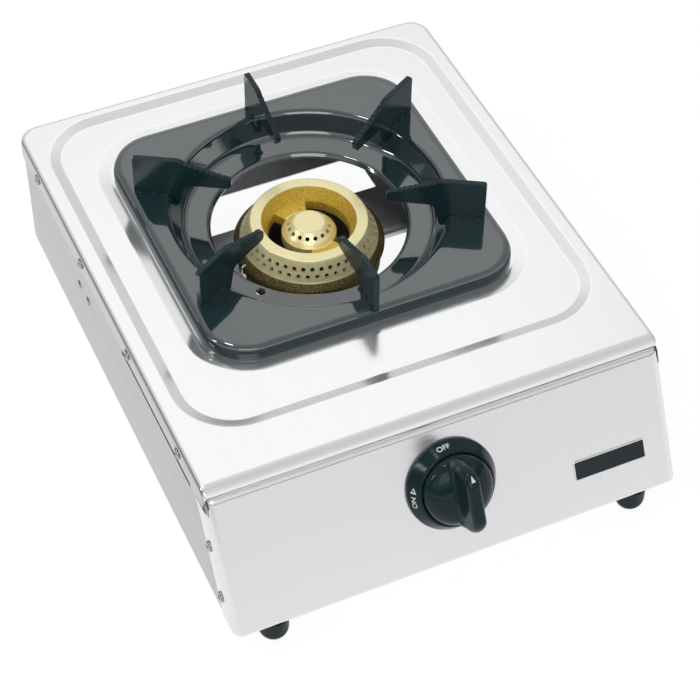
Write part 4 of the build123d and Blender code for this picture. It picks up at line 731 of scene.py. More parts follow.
def tray_rings():
    """Rings of (radius, height): the skirt's inside, its edge and outside, the shoulder, the bowl."""
    squares = [(1.2, 3.1), (1.2, SKIRT), (1.0, SKIRT - 0.15), (0.2, SKIRT - 0.15), (0.0, SKIRT), (0.0, -1.6)]
    for degrees in range(0, 91, 15):
        x, y = polar(SHOULDER, math.radians(degrees))
        squares.append((SHOULDER - x, TRAY_TOP - SHOULDER + y))
    shapes = [(TRAY_HALF - inset, TRAY_CORNER - inset, height) for inset, height in squares]
    shapes.append((92.0, 25.0, TRAY_TOP))
    rings = [[(square_radius(a, half, corner), height) for a in turns(RAYS)] for half, corner, height in shapes]
    return rings + [[spot] * RAYS for spot in rounded(BOWL_SKIN, BOWL_ROUNDS, steps=6, closed=False)]


def drain_cutter():
    """A short cylinder through the bowl, where spilt water drains."""
    x, y = polar(66, math.radians(-139))
    ring = [polar(3, a) for a in turns(24)]
    points = [(x + dx, BURNER_Y + y + dy, height) for height in (TOP - 16, TOP + 4) for dx, dy in ring]
    return add_object("hole cutter", points, solid_faces(2, len(ring)))


def build_tray():
    """The tray, with its drain hole."""
    rings = tray_rings()
    points = [at_burner(radius, a, height) for ring in rings for a, (radius, height) in zip(turns(RAYS), ring)]
    tray = add_object("enamelled_tray", points, ring_faces(len(rings), RAYS, closed=True))
    cut_away(tidy_mesh(tray, sharp=60), drain_cutter())
    finish_piece(tray, ENAMEL, "pan_support", ["drip_tray"], sharp=60)


build_tray()

# %% [markdown]
# ## Geometry Nodes for what repeats
# Arms stand round the burner, ports go round the cap, and screws stand in rows. Two small trees
# make them: one turns copies of a piece about the burner's axis, the other sets copies in a row
# on both sides of the casing. Each has named inputs and ends in real, merged geometry.

# %% Shared steps of both trees
def end_tree(tree, geometry, source, sink, weld=None):
    """Real geometry, welded where the copies meet, with its material."""
    last = add_node(tree, "GeometryNodeRealizeInstances", {0: geometry}).outputs[0]
    if weld:
        last = add_node(tree, "GeometryNodeMergeByDistance", {0: last, "Distance": weld}).outputs[0]
    paint = add_node(tree, "GeometryNodeSetMaterial", {"Geometry": last, "Material": source["Material"]})
    tree.links.new(paint.outputs[0], sink[0])
    return tree


def place_copies(tree, source, start, offset, angles):
    """Copies of the object's own mesh on a line, each turned by its angles."""
    line = add_node(tree, "GeometryNodeMeshLine", {
        "Count": source["Copies"], "Start Location": start, "Offset": offset,
    }).outputs[0]
    turned = add_node(tree, "ShaderNodeCombineXYZ", angles).outputs[0]
    return add_node(tree, "GeometryNodeInstanceOnPoints", {
        "Points": line, "Instance": source["Geometry"], "Rotation": turned,
    }).outputs[0]

# %% Copies round an axis
def ring_tree():
    """Copies turned about an upright axis."""
    tree, source, sink = new_group(
        "GeometryNodeTree", "copies round an axis",
        {"Geometry": "Geometry", "Copies": "Int", "First angle": "Float", "Step angle": "Float",
         "Centre": "Vector", "Material": "Material"}, {"Geometry": "Geometry"},
    )
    index = add_node(tree, "GeometryNodeInputIndex").outputs[0]
    angle = calc(tree, "ADD", calc(tree, "MULTIPLY", index, source["Step angle"]), source["First angle"])
    copies = place_copies(tree, source, source["Centre"], (0, 0, 0), {"Z": angle})
    return end_tree(tree, copies, source, sink, weld=1e-6)


RING = ring_tree()
print("tree:", RING.name)

# %% Rows on both sides
def row_tree():
    """Copies in a row, facing outward on both sides. Each is turned on its axis by a step more."""
    tree, source, sink = new_group(
        "GeometryNodeTree", "rows on both sides",
        {"Geometry": "Geometry", "Copies": "Int", "First place": "Vector", "Step": "Vector",
         "Material": "Material"}, {"Geometry": "Geometry"},
    )
    join = add_node(tree, "GeometryNodeJoinGeometry")
    number = calc(tree, "ADD", add_node(tree, "GeometryNodeInputIndex").outputs[0], 1.0)
    for side in (1, -1):
        start = add_node(
            tree, "ShaderNodeVectorMath", {0: source["First place"], 1: (side, 1, 1)}, operation="MULTIPLY",
        ).outputs[0]
        angles = {"X": calc(tree, "MULTIPLY", number, 0.9 * side), "Z": 0.0 if side > 0 else math.pi}
        tree.links.new(place_copies(tree, source, start, source["Step"], angles), join.inputs[0])
    return end_tree(tree, join.outputs[0], source, sink)


ROWS = row_tree()
print("tree:", ROWS.name)

# %% Run a tree
CENTRE = Vector((0, BURNER_Y, TOP)) * MM


def repeat(obj, tree, **values):
    """Runs a tree on an object and keeps the result as a plain mesh."""
    modifier = obj.modifiers.new(tree.name, "NODES")
    modifier.node_group = tree
    for item in tree.interface.items_tree:
        label = item.name.replace(" ", "_")
        if item.item_type == "SOCKET" and item.in_out == "INPUT" and label in values:
            modifier[item.identifier] = values[label]
    bake(obj)
    print(tree.name, "made", obj.name, "with", len(obj.data.polygons), "faces")


def repeat_round(obj, copies, first, step, material):
    """Copies about the burner's axis, from a first angle by even steps, in degrees."""
    repeat(
        obj, RING, Copies=copies, First_angle=math.radians(first), Step_angle=math.radians(step),
        Centre=tuple(CENTRE), Material=material,
    )

# %% [markdown]
# ## Pan support arms
# Each arm is an upright strip of steel. Its top runs level and then slopes down to a toothed tip
# over the burner. Four arms are long, and the two in line with the burner's front and back are a
# little shorter. Small weld beads hold the foot of each arm to the tray.

# %% Arm outline
ARM_TOP, ARM_KNEE, ARM_TIP, ARM_TIP_TOP, ARM_HALF = 31.5, 79.5, 46.5, 19.2, 1.75
TOOTH_PITCH, TOOTH_DEPTH, TEETH, TOOTH_STEPS = 3.4, 0.9, 8, 8
BEAD_SIZE = Vector((2.3, 1.2, 1.0)) * MM


def arm_outline(reach):
    """Side view of an arm: distance from the burner's axis, height over the border."""
    start, end = Vector((ARM_KNEE, ARM_TOP)), Vector((ARM_TIP, ARM_TIP_TOP))
    along = (end - start).normalized()
    down = Vector((-along.y, along.x))
    crest = [(reach, 3.6), (reach, ARM_TOP), (ARM_KNEE, ARM_TOP), tuple(start + along * 5)]
    outline = rounded(crest, [0, 2.2, 6.0, 0], closed=False)
    for k in range(TEETH * TOOTH_STEPS + 1):
        wave = 0.5 - 0.5 * math.cos(2 * math.pi * k / TOOTH_STEPS)
        run = 3.6 + TOOTH_PITCH * k / TOOTH_STEPS
        outline.append(tuple(start + along * run + down * TOOTH_DEPTH * wave**0.7))
    tip = [tuple(start + along * 31.4), (ARM_TIP, ARM_TIP_TOP - 0.2), (ARM_TIP, 12.2)]
    tip += [(74.8, 12.2), (79.0, -4.0)]
    outline += rounded(tip, [0, 3.2, 3.2, 5.0, 0], steps=5, closed=False)
    return outline + [(83.2, 3.4), (84.6, 3.9)]


print("points in an arm's outline:", len(arm_outline(106.0)))

# %% One arm
def round_edges(obj, width, segments=2, angle=50):
    """Rounds the edges that are sharper than an angle in degrees."""
    modifier = obj.modifiers.new("rounded edges", "BEVEL")
    modifier.width = width * MM
    modifier.segments = segments
    modifier.limit_method = "ANGLE"
    modifier.angle_limit = math.radians(angle)
    modifier.harden_normals = False
    bake(obj)


def build_arm(name, reach):
    """One arm with its weld beads, standing at the angle 0 about its own origin."""
    outline = arm_outline(reach)
    points = [(r, side * ARM_HALF, h) for side in (-1, 1) for r, h in outline]
    arm = tidy_mesh(add_object(name, points, solid_faces(2, len(outline))))
    round_edges(arm, 0.45, segments=3)
    bm = bmesh.new()
    bm.from_mesh(arm.data)
    for back in (3.5, 11.5, 19.0):
        for side in (-1, 1):
            bead = bmesh.ops.create_icosphere(bm, subdivisions=3, radius=1.0)["verts"]
            place = Matrix.Translation(Vector((reach - back, side * 1.9, 4.35)) * MM)
            bmesh.ops.transform(bm, matrix=place @ Matrix.Diagonal((*BEAD_SIZE, 1)), verts=bead)
    bm.to_mesh(arm.data)
    bm.free()
    return arm

# %% Arms round the burner
for name, reach, first, step, numbers in (
    ("long_arms_back", 106.0, 30, 120, (1, 3)), ("long_arms_front", 106.0, 210, 120, (4, 6)),
    ("short_arms", 97.0, 90, 180, (2, 5)),
):
    arm = build_arm(name, reach)
    repeat_round(arm, 2, first, step, ENAMEL_ARM)
    nodes = ["pan_support_arm_%d" % number for number in numbers]
    finish_piece(arm, ENAMEL_ARM, "pan_support", nodes, sharp=40, outward=False)

# %% [markdown]
# ## Burner cap
# A slice of the cap holds one port of each row. The ports of the lower row stand halfway between
# those of the upper one, so a slice has ragged ends that fit the next slice. Geometry Nodes turns
# the slice 44 times and welds the copies into one closed ring. The dome is made the same way.

# %% One slice of a drilled cone
PORT_RADIUS, QUARTER = 1.35, 4


def ported_slice(profile, rows, count):
    """
    A slice of a turned wall. profile is a closed list of (radius, height). rows lists the drilled
    bands as (outer index, inner index, shift): the profile's edge from the outer index has the
    port's mouth, the edge from the inner index its inner end. shift is in slices.
    """
    pitch = 2 * math.pi / count
    size = 4 * QUARTER
    points, faces = [], []

    def add_point(a, b, t, turn):
        """Adds the point at t between two profile points, turned about the axis."""
        radius, height = (p + (q - p) * t for p, q in zip(a, b))
        points.append((*polar(radius, turn), height))
        return len(points) - 1

    def border(a, b, shift):
        """Points round a cell between profile points a and b, and as many round its port."""
        left, right = shift * pitch, (shift + 1) * pitch
        steps = [k / QUARTER for k in range(QUARTER)]
        edge = [(0.0, left + pitch * s) for s in steps] + [(s, right) for s in steps]
        edge += [(1.0, right - pitch * s) for s in steps] + [(1 - s, left) for s in steps]
        circle = []
        for turn in turns(size):
            x, y = polar(PORT_RADIUS, turn + math.radians(225))
            circle.append((0.5 + y / math.dist(a, b), (left + right) / 2 + x / ((a[0] + b[0]) / 2)))
        return [[add_point(a, b, t, turn) for t, turn in ring] for ring in (edge, circle)]

    def add_quads(one, two, flip=False):
        for i in range(size):
            j = (i + 1) % size
            face = (one[i], one[j], two[j], two[i])
            faces.append(tuple(reversed(face)) if flip else face)

    for outer, inner, shift in rows:
        mouth = border(profile[outer], profile[outer + 1], shift)
        end = border(profile[inner + 1], profile[inner], shift)
        add_quads(*mouth)
        add_quads(*end, flip=True)
        add_quads(mouth[1], end[1])
    drilled = {index for row in rows for index in row[:2]}
    for k, a in enumerate(profile):
        b = profile[(k + 1) % len(profile)]
        if k in drilled or a[0] == b[0] == 0:
            continue
        for q in range(QUARTER):
            low, high = pitch * q / QUARTER, pitch * (q + 1) / QUARTER
            corners = ((0, low), (0, high), (1, high), (1, low))
            faces.append(tuple(add_point(a, b, t, turn) for t, turn in corners))
    return points, faces

# %% Cap ring, dome and bridges
PORTS, DOME_PORTS, BRIDGE_TURN = 44, 16, 98


def join_into(target, *others):
    """Adds other objects' meshes to one object."""
    bm = bmesh.new()
    for obj in (target, *others):
        bm.from_mesh(obj.data)
    bm.to_mesh(target.data)
    bm.free()
    for obj in others:
        bpy.data.objects.remove(obj)


def on_cone(drop, top, low):
    """A point at a drop on the line from a top to a low (radius, drop)."""
    return (top[0] + (low[0] - top[0]) * (drop - top[1]) / (low[1] - top[1]), -drop)


def bridge_mesh():
    """The two spokes between dome and ring, each with a gas channel beneath."""
    points, faces = [], []
    steps, radii, half = 10, [15.4, 18.0, 21.0, 24.0, 26.8], math.radians(26)
    for turn in (BRIDGE_TURN, BRIDGE_TURN + 180):
        faces += solid_faces(len(radii), steps + 7, first=len(points))
        for r in radii:
            channel = math.asin(4.5 / r)
            crest = -18.5 + 0.5 * (r - radii[0]) / (radii[-1] - radii[0])
            across = [(half * (2 * k / steps - 1), crest) for k in range(steps + 1)]
            across += [(half, -25.0), (channel, -25.0), (channel, -21.0)]
            across += [(-channel, -21.0), (-channel, -25.0), (-half, -25.0)]
            points += [at_burner(r, math.radians(turn) + angle, height) for angle, height in across]
    return points, faces


def build_cap():
    """The ring with two rows of ports, the dome with one, and the bridges between them."""
    profile = [(29.0, -9.5), (29.12, -9.15), (29.5, -9.0), (32.0, -9.0), (35.3, -9.0)]
    profile += [(35.8, -9.15), (36.2, -9.6)]
    outer = len(profile)
    profile += [on_cone(drop, (36, 9), (42, 21.1)) for drop in (11.9, 16.1, 20.3)]
    profile += [(42.0, -21.1), (42.5, -21.9), (46.0, -25.6), (46.4, -26.2), (46.4, -27.0), (46.2, -27.2)]
    profile += [(44.5, -27.2), (44.5, -25.0), (40.8, -25.0)]
    inner = len(profile)
    profile += [on_cone(drop, (34.6, 11.6), (39.4, 20.5)) for drop in (20.35, 17.1, 13.0)]
    profile += [(34.6, -11.6), (30.6, -11.6), (28.2, -18.0), (28.2, -25.0), (25.2, -25.0), (25.2, -18.9)]
    profile += [(25.35, -18.2), (28.6, -10.4)]
    rows = [(outer, inner + 1, 0.0), (outer + 1, inner, -0.5)]
    cap = add_object("turned_burner_cap", *ported_slice(profile, rows, PORTS))
    repeat_round(cap, PORTS, 0.0, 360 / PORTS, CAP_BRASS)
    dome = [(0.0, -11.0), (8.9, -11.0), (9.7, -11.15), (10.45, -11.75), (14.85, -16.15), (15.5, -16.95)]
    dome += [(15.9, -17.6), (16.8, -18.6), (16.8, -25.0), (14.2, -25.0), (14.2, -18.5), (13.0, -17.3)]
    dome += [(8.3, -13.6), (0.0, -13.6)]
    hub = add_object("hub", *ported_slice(dome, [(3, 11, 0.0)], DOME_PORTS))
    repeat_round(hub, DOME_PORTS, BRIDGE_TURN / DOME_PORTS, 360 / DOME_PORTS, CAP_BRASS)
    bridges = tidy_mesh(add_object("bridges", *bridge_mesh()))
    round_edges(bridges, 0.4)
    for obj in (cap, hub, bridges):
        tidy_mesh(obj, sharp=38)
    join_into(cap, hub, bridges)
    finish_piece(cap, CAP_BRASS, "burner_cap", ["burner_cap"], sharp=38)


build_cap()

# %% [markdown]
# ## Knob and dial
# The dial is a shallow cone with a rolled edge, and the knob's domed drum turns in its bore. The
# grip is a tall bar with rounded ends. It is built from level outlines laid one over another. The
# words on the dial are Blender text, bent round the cone.

# %% Turned pieces
def lathe(name, profile, steps, place):
    """Turns a closed profile of (radius, height) about an axis. place maps (x, y, height)."""
    points = [place(*polar(radius, turn), height) for radius, height in profile for turn in turns(steps)]
    return add_object(name, points, ring_faces(len(profile), steps, closed=True))

# %% Dial
def build_dial():
    """The fixed ring round the knob, which carries the words."""
    profile = [(7.5, 0.0), (27.2, 0.0), (27.4, 0.25), (27.4, 1.7), (27.15, 2.2), (26.6, 3.1)]
    profile += [(23.5, 8.3), (23.0, 9.0), (22.4, 9.4), (21.9, 9.5), (21.5, 9.3), (21.3, 8.9)]
    profile += [(21.3, 1.6), (21.2, 1.5), (7.5, 1.5)]
    dial = lathe("dial_ring", profile, 144, on_panel)
    finish_piece(dial, DIAL_BLACK, "casing", ["knob_bezel"], sharp=50)


build_dial()

# %% Outlines of the grip
GRIP_LEVELS = [10.0, 14.0, 17.0, 18.5, 19.6, 20.4, 21.4, 23.0, 25.0, 27.0, 29.0, 31.0, 32.5, 33.8, 34.8]
GRIP_LEVELS += [35.6, 36.2, 36.7, 37.0, 37.2, 37.3]


def bar_outline(half, low, high, radius, steps):
    """A rounded bar: half its width, its two ends and its corner radius."""
    outline = []
    for cx, cy, start in ((1, 1, 0), (-1, 1, 90), (-1, -1, 180), (1, -1, 270)):
        middle = high - radius if cy > 0 else low + radius
        for k in range(steps + 1):
            x, y = polar(radius, math.radians(start + 90 * k / steps))
            outline.append((cx * (half - radius) + x, middle + y))
    return outline


def quarter_fall(h, start, reach, fall):
    """How far an outline has drawn in at a height, as a quarter of an ellipse does."""
    t = min(1.0, max(0.0, (h - start) / reach))
    return fall * (1 - math.sqrt(1 - t * t))


def grip_end(h):
    """How far up the panel the grip reaches at a height."""
    return 20.6 - quarter_fall(h, 26.0, 11.4, 11.0)


def build_grip():
    """The bar to turn the knob by, from level outlines."""
    points = []
    for h in GRIP_LEVELS:
        flare = min(1.6, 1.6 * max(0.0, (23.0 - h) / 4) ** 2) if h > 19 else 1.6
        half = 4.7 - 0.8 * max(0.0, h - 20) / 17.3 - quarter_fall(h, 34.5, 2.8, 2.6) + flare
        low = -20.2 + quarter_fall(h, 24.0, 13.4, 12.2)
        outline = bar_outline(half, low, grip_end(h), half * 0.98, 10)
        points += [on_panel(x, y, h) for x, y in outline]
    return add_object("grip", points, solid_faces(len(GRIP_LEVELS), len(points) // len(GRIP_LEVELS)))


print("grip levels:", len(GRIP_LEVELS), "end at its crest:", round(grip_end(GRIP_LEVELS[-1]), 2))

# %% Knob and pointer
DRUM_RADIUS, DOME_RISE, DOME_STEPS = 16.9, 9.8, 12


def build_knob():
    """The domed drum, the hub on the stem and the grip."""
    dome = [polar(1.0, math.pi / 2 * k / DOME_STEPS) for k in range(DOME_STEPS + 1)]
    profile = [(20.9, 6.2)] + [(4.0 + DRUM_RADIUS * x, 10.2 + DOME_RISE * y) for x, y in dome]
    profile += [(0.0, 20.0), (0.0, 17.2), (7.0, 16.8), (13.0, 14.2), (17.4, 9.8), (18.9, 6.6), (18.9, 6.2)]
    drum = lathe("turning_knob", profile, 144, on_panel)
    hub = lathe("knob hub", [(3.1, 6.2), (6.5, 6.2), (6.5, 17.8), (3.1, 17.8)], 64, on_panel)
    join_into(drum, hub, build_grip())
    finish_piece(drum, KNOB_BLACK, "knob", ["knob"], sharp=42)


def build_pointer():
    """A white wedge let into the grip's end."""
    outline = rounded([(0, 33.6), (-1.25, 36.2), (1.25, 36.2)], 0.2, steps=3)
    points = [on_panel(x, grip_end(h) + lift, h + lift) for lift in (-0.9, 0.12) for x, h in outline]
    pointer = add_object("white_pointer", points, solid_faces(2, len(outline)))
    finish_piece(pointer, WHITE, "knob", ["knob_pointer"])


build_knob()
build_pointer()

# %% Words on the dial
CONE_LOW, CONE_HIGH, PRINT_RADIUS = (26.6, 3.1), (23.5, 8.3), 25.2
CONE_SLOPE = math.atan2(CONE_HIGH[1] - CONE_LOW[1], CONE_LOW[0] - CONE_HIGH[0])


def on_dial(x, y, lift, centre_turn):
    """A flat place bent round the dial's cone. centre_turn is in degrees from the top."""
    r = PRINT_RADIUS + y * math.cos(CONE_SLOPE)
    across, up = polar(r, math.radians(90 + centre_turn) - x / PRINT_RADIUS)
    return on_panel(across, up, CONE_LOW[1] + (CONE_LOW[0] - r) * math.tan(CONE_SLOPE) + lift)


def dial_word(name, word, centre_turn):
    """Text wrapped on the dial's cone."""
    curve = bpy.data.curves.new(name, "FONT")
    curve.body, curve.size = word, 4.6
    curve.align_x = curve.align_y = "CENTER"
    curve.extrude = curve.offset = 0.05
    maker = link_object("text maker", curve)
    bpy.context.view_layer.update()
    mesh = bpy.data.meshes.new_from_object(maker.evaluated_get(bpy.context.evaluated_depsgraph_get()))
    bpy.data.objects.remove(maker)
    for vertex in mesh.vertices:
        x, y, lift = vertex.co
        vertex.co = on_dial(x, y, lift + 0.06, centre_turn) * MM
    return link_object(name, mesh)


def dial_arrow(centre_turn):
    """A hollow triangle that points clockwise."""
    big = [(-1.5, -2.0), (-1.5, 2.0), (2.0, 0.0)]
    small = [(-0.75, -0.95), (-0.75, 0.95), (0.9, 0.0)]
    points = [on_dial(x, y, lift, centre_turn) for lift in (0.02, 0.12) for x, y in big + small]
    faces = []
    for i in range(3):
        j = (i + 1) % 3
        faces += [(6 + i, 6 + j, 9 + j, 9 + i), (i, j, 6 + j, 6 + i)]
        faces += [(3 + i, 9 + i, 9 + j, 3 + j), (i, 3 + i, 3 + j, j)]
    return add_object("arrow", points, faces)


dial_print = dial_word("dial_print", "OFF", 6.0)
join_into(dial_print, dial_word("on", "ON", 93.0), dial_arrow(77.0))
finish_piece(dial_print, WHITE, "casing", sharp=30)

# %% Plate on the front panel
def plate_mesh(name, levels, hollow=False):
    """A flat plate, or a frame, from rounded outlines at (inset, height) levels."""
    points = []
    for inset, height in levels:
        outline = bar_outline(23.0 - inset, -6.0 + inset, 6.0 - inset, 1.2 - inset, 5)
        points += [on_panel(98.4 + x, y, height, PLATE) for x, y in outline]
    count, size = len(levels), len(points) // len(levels)
    faces = ring_faces(count, size, closed=True) if hollow else solid_faces(count, size)
    return add_object(name, points, faces)


plate = plate_mesh("bare_plate", [(0.55, 0.0), (0.55, 0.66), (0.7, 0.72)])
finish_piece(plate, PLATE_BLACK, "casing", ["badge_plate"])
frame_levels = [(0.0, 0.0), (0.0, 0.72), (0.1, 0.8), (0.42, 0.8), (0.52, 0.74), (0.52, 0.0)]
finish_piece(plate_mesh("plate_border", frame_levels, hollow=True), PLATE_BORDER, "casing")

# %% [markdown]
# ## Screws and rivets
# A pan head with a cross recess holds the cover and the front panel, four and two to a side. The
# crossbar's rivets are plain domes. One of each is made, lying along X, and the row tree sets it
# on both sides.

# %% Screw rows
HEAD, HEAD_RISE, SHANK, SCREW_LENGTH, RECESS_HALF = 3.4, 1.4, 1.5, 5.0, 0.42
RIVET = [(0.0, -3.0), (1.6, -3.0), (1.6, 0.0), (2.9, 0.0), (3.0, 0.12)]
RIVET += [(2.75, 0.42), (2.1, 0.76), (1.1, 0.96), (0.0, 1.0)]


def along_x(name, profile):
    """Turns a profile of (radius, reach) about X."""
    return lathe(name, profile, 40, lambda a, b, reach: Vector((reach, a, b)))


def build_screw(name):
    """A pan head screw with a cross recess."""
    profile = [(0.0, -SCREW_LENGTH), (SHANK * 0.7, -SCREW_LENGTH), (SHANK, -SCREW_LENGTH + 0.6), (SHANK, 0.0)]
    profile += [(HEAD - 0.15, 0.0), (HEAD, 0.15), (HEAD, 0.45)]
    profile += [(HEAD * r, HEAD_RISE * h) for r, h in ((0.96, 0.62), (0.82, 0.85), (0.58, 0.97), (0.0, 1.0))]
    screw = tidy_mesh(along_x(name, profile))
    for a, b in ((HEAD * 0.55, RECESS_HALF), (RECESS_HALF, HEAD * 0.55)):
        outline = [(-a, -b), (a, -b), (a, b), (-a, b)]
        points = [(reach, y, z) for reach in (HEAD_RISE - 0.75, HEAD_RISE + 1) for y, z in outline]
        cut_away(screw, tidy_mesh(add_object("recess", points, solid_faces(2, 4))))
    return screw


def place_rows(obj, node, copies, depth, drop, step, inset=0.0):
    """Sets a row on each side, from a first depth and drop."""
    first = Vector((SIDE - inset, BACK - depth, TOP - drop)) * MM
    repeat(obj, ROWS, Copies=copies, First_place=tuple(first), Step=tuple(Vector(step) * MM), Material=PLATED)
    finish_piece(obj, PLATED, "casing", [node], sharp=40, outward=False)


PANEL_STEP = 28.4
place_rows(build_screw("cover_pan_heads"), "cover_screws", 4, 41, 6.5, (0, -79, 0))
panel_step = (0, -PANEL_STEP * math.tan(LEAN), -PANEL_STEP)
place_rows(build_screw("panel_pan_heads"), "front_panel_screws", 2, 322.32, 36.7, panel_step)
place_rows(along_x("bar_rivets", RIVET), "crossbar_rivets", 2, 107.25, 36.5, (0, -15.5, 0), inset=1.1)

# %% [markdown]
# ## Camera
# The photograph's camera was solved from the straight edges of the casing. It looks down over the
# front left corner with a long lens. Blender gets the same place, direction and small roll.

# %% Camera from the solved view
AZIMUTH, ELEVATION, ROLL = math.radians(-25.04), math.radians(47.90), math.radians(0.97)
TARGET, DISTANCE, LENS = Vector((-24.8, -77.41, 98.0)) * MM, 1.1992, 108.76


def place_camera():
    """The camera, from its two angles, its roll and its distance."""
    level = Vector((math.sin(AZIMUTH), -math.cos(AZIMUTH), 0)) * math.cos(ELEVATION)
    back = level + Vector((0, 0, math.sin(ELEVATION)))
    right = Vector((math.cos(AZIMUTH), math.sin(AZIMUTH), 0))
    up = back.cross(right)
    turned_right = math.cos(ROLL) * right + math.sin(ROLL) * up
    turned_up = -math.sin(ROLL) * right + math.cos(ROLL) * up
    lens = bpy.data.cameras.new("photograph view")
    lens.sensor_fit, lens.sensor_width = "HORIZONTAL", 36.0
    lens.lens, lens.clip_start = LENS, 0.05
    camera = link_object("photograph view", lens)
    axes = Matrix((turned_right, turned_up, back)).transposed()
    camera.matrix_world = Matrix.Translation(TARGET + back * DISTANCE) @ axes.to_4x4()
    bpy.context.scene.camera = camera
    print("camera at", [round(v, 3) for v in camera.matrix_world.translation])


place_camera()

# %% [markdown]
# ## Studio
# The background and the floor are white. The bright sheet and the enamel show nothing but the
# studio, so its parts give them their tones: a wide tent that only mirrors see, with a bright
# window high behind the stove and greyer walls, and a dark card low at the front left, which draws
# the folded edges. Three soft lamps give the light and the shadow.

# %% Tones that mirrors see
WINDOW = Vector((0.23, 0.60, 0.766)).normalized()
# Tone by how far a direction points to the window, from -1 away from it to 1 right at it.
WALL_TONES = [
    (-1.0, 0.1), (0.0, 0.1), (0.3, 0.1), (0.45, 0.3), (0.6, 0.45), (0.8, 0.58), (0.94, 0.63),
    (0.974, 0.86), (0.989, 1.0),
]
# Tone of the front wall by how high a direction points, from 0 level to 1 straight up.
FRONT_TONES = [
    (0.0, 0.6), (0.04, 0.72), (0.09, 1.1), (0.17, 1.15), (0.20, 0.12), (0.38, 0.12), (0.44, 0.9),
    (0.6, 0.85), (0.8, 0.6), (1.0, 0.55),
]
print("tones:", len(WALL_TONES), "of the walls,", len(FRONT_TONES), "of the front")

# %% Studio helpers
def ramp_node(tree, value, stops):
    """A grey ramp from (place, tone) stops."""
    node = add_node(tree, "ShaderNodeValToRGB", {0: value})
    elements = node.color_ramp.elements
    while len(elements) < len(stops):
        elements.new(0.5)
    for element, (place, tone) in zip(elements, stops):
        element.position = place
        element.color = (tone, tone, tone, 1)
    return node.outputs[0]


def seen_directly(tree):
    """1 for the camera, for mirrors and through glass, and 0 for the light that a surface gets."""
    path = add_node(tree, "ShaderNodeLightPath").outputs
    seen = calc(tree, "MAXIMUM", path["Is Camera Ray"], path["Is Glossy Ray"])
    return calc(tree, "MAXIMUM", seen, path["Is Transmission Ray"])


def stage_piece(name, points, faces, only_mirrors=False):
    """A piece of the studio, and the tree of its material with nothing but its output."""
    piece = add_object(name, points, faces)
    material = bpy.data.materials.new(name)
    material.use_nodes = True
    material.node_tree.nodes.remove(material.node_tree.nodes["Principled BSDF"])
    piece.data.materials.append(material)
    if only_mirrors:
        piece.visible_camera = piece.visible_diffuse = piece.visible_transmission = False
        piece.visible_shadow = False
    return material.node_tree


def set_surface(tree, shader):
    """Shows a shader on a studio piece."""
    tree.links.new(shader.outputs[0], tree.nodes["Material Output"].inputs["Surface"])

# %% World and floor
def build_world():
    """White to look at, and an even faint light on what stands in it."""
    world = bpy.data.worlds.new("studio")
    world.use_nodes = True
    tree = world.node_tree
    tree.nodes.clear()
    seen, ambient = (
        add_node(tree, "ShaderNodeBackground", {"Color": (1, 1, 1, 1), "Strength": strength}).outputs[0]
        for strength in (1.0, 0.55)
    )
    mix = add_node(tree, "ShaderNodeMixShader", {0: seen_directly(tree), 1: ambient, 2: seen})
    add_node(tree, "ShaderNodeOutputWorld", {0: mix.outputs[0]})
    bpy.context.scene.world = world


def build_floor():
    """A white floor that keeps a soft shadow."""
    corners = [(x, y, 0) for x, y in ((-5500, -5500), (5500, -5500), (5500, 5500), (-5500, 5500))]
    tree = stage_piece("floor", corners, [(0, 1, 2, 3)])
    paper, faint = (
        add_node(tree, "ShaderNodeBsdfDiffuse", {"Color": (tone, tone, tone, 1)}).outputs[0]
        for tone in (0.8, 0.14)
    )
    glow = add_node(tree, "ShaderNodeEmission", {"Strength": 0.91}).outputs[0]
    white = add_node(tree, "ShaderNodeAddShader", {0: faint, 1: glow}).outputs[0]
    set_surface(tree, add_node(tree, "ShaderNodeMixShader", {0: seen_directly(tree), 1: paper, 2: white}))


build_world()
build_floor()
print("world:", bpy.context.scene.world.name)

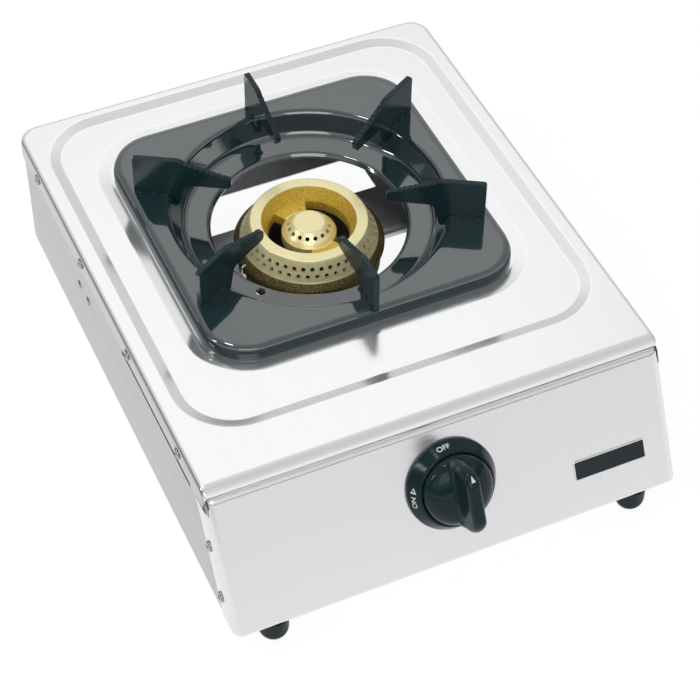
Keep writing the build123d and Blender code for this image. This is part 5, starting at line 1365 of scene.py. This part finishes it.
# %% Tent and card
def build_tent():
    """A wide dome that only mirrors see: a bright window at the back, greyer walls round it."""
    radius, rings, steps = 6000, 20, 64
    points = []
    for ring in range(rings):
        out, height = polar(radius, math.radians(90 * ring / rings))
        points += [(*polar(out, turn), height) for turn in turns(steps)]
    points.append((0, 0, radius))
    last = (rings - 1) * steps
    faces = ring_faces(rings, steps) + [(last + i, last + (i + 1) % steps, rings * steps) for i in range(steps)]
    tree = stage_piece("studio tent", points, faces, only_mirrors=True)
    place = add_node(tree, "ShaderNodeTexCoord").outputs["Object"]
    unit = add_node(tree, "ShaderNodeVectorMath", {0: place}, operation="NORMALIZE").outputs[0]
    toward = add_node(tree, "ShaderNodeVectorMath", {0: unit, 1: WINDOW}, operation="DOT_PRODUCT")
    near = calc(tree, "MULTIPLY_ADD", toward.outputs["Value"], 0.5, 0.5)
    walls = ramp_node(tree, near, [((1 + d) / 2, tone) for d, tone in WALL_TONES])
    parts = add_node(tree, "ShaderNodeSeparateXYZ", {0: unit}).outputs
    front = ramp_node(tree, parts["Z"], FRONT_TONES)
    inputs = {"Value": parts["Y"], "From Min": 0.0, "From Max": -0.3}
    side = add_node(tree, "ShaderNodeMapRange", inputs, interpolation_type="SMOOTHSTEP").outputs[0]
    mix = add_node(tree, "ShaderNodeMix", {0: side, 6: walls, 7: front}, data_type="RGBA").outputs[2]
    set_surface(tree, add_node(tree, "ShaderNodeEmission", {"Color": mix}))


def build_card():
    """A dark card low at the front left. Only mirrors see it: it draws the folded edges."""
    corners = [(-5000, -3000, 6), (-700, -3000, 6), (-700, -240, 6), (-5000, -240, 6)]
    tree = stage_piece("dark card", corners, [(0, 1, 2, 3)], only_mirrors=True)
    set_surface(tree, add_node(tree, "ShaderNodeBsdfPrincipled", {"Base Color": (0.02, 0.02, 0.02, 1)}))


build_tent()
build_card()

# %% Lamps
def add_lamp(name, place, target, size, power, size_y=None):
    """A soft rectangular lamp that faces a target, in millimetres."""
    data = bpy.data.lights.new(name, "AREA")
    data.shape = "RECTANGLE"
    data.size, data.size_y = size * MM, (size_y or size) * MM
    data.energy = power
    lamp = link_object(name, data)
    direction = (Vector(target) - Vector(place)).normalized()
    facing = direction.to_track_quat("-Z", "Y").to_matrix().to_4x4()
    lamp.matrix_world = Matrix.Translation(Vector(place) * MM) @ facing


add_lamp("key from the front left", (-500, -1150, 1400), (0, 0, 60), 900, 5)
add_lamp("narrow lamp at the left", (-1250, 250, 1000), (0, -160, 60), 60, 2.4, 500)
add_lamp("small lamp overhead", (-300, 350, 1500), (0, 0, 80), 150, 1.5)
print("lamps:", len(bpy.data.lights))

# %% [markdown]
# ## View transform
# Colours are shown through the Standard view transform.

# %% View transform
bpy.context.scene.view_settings.view_transform = "Standard"
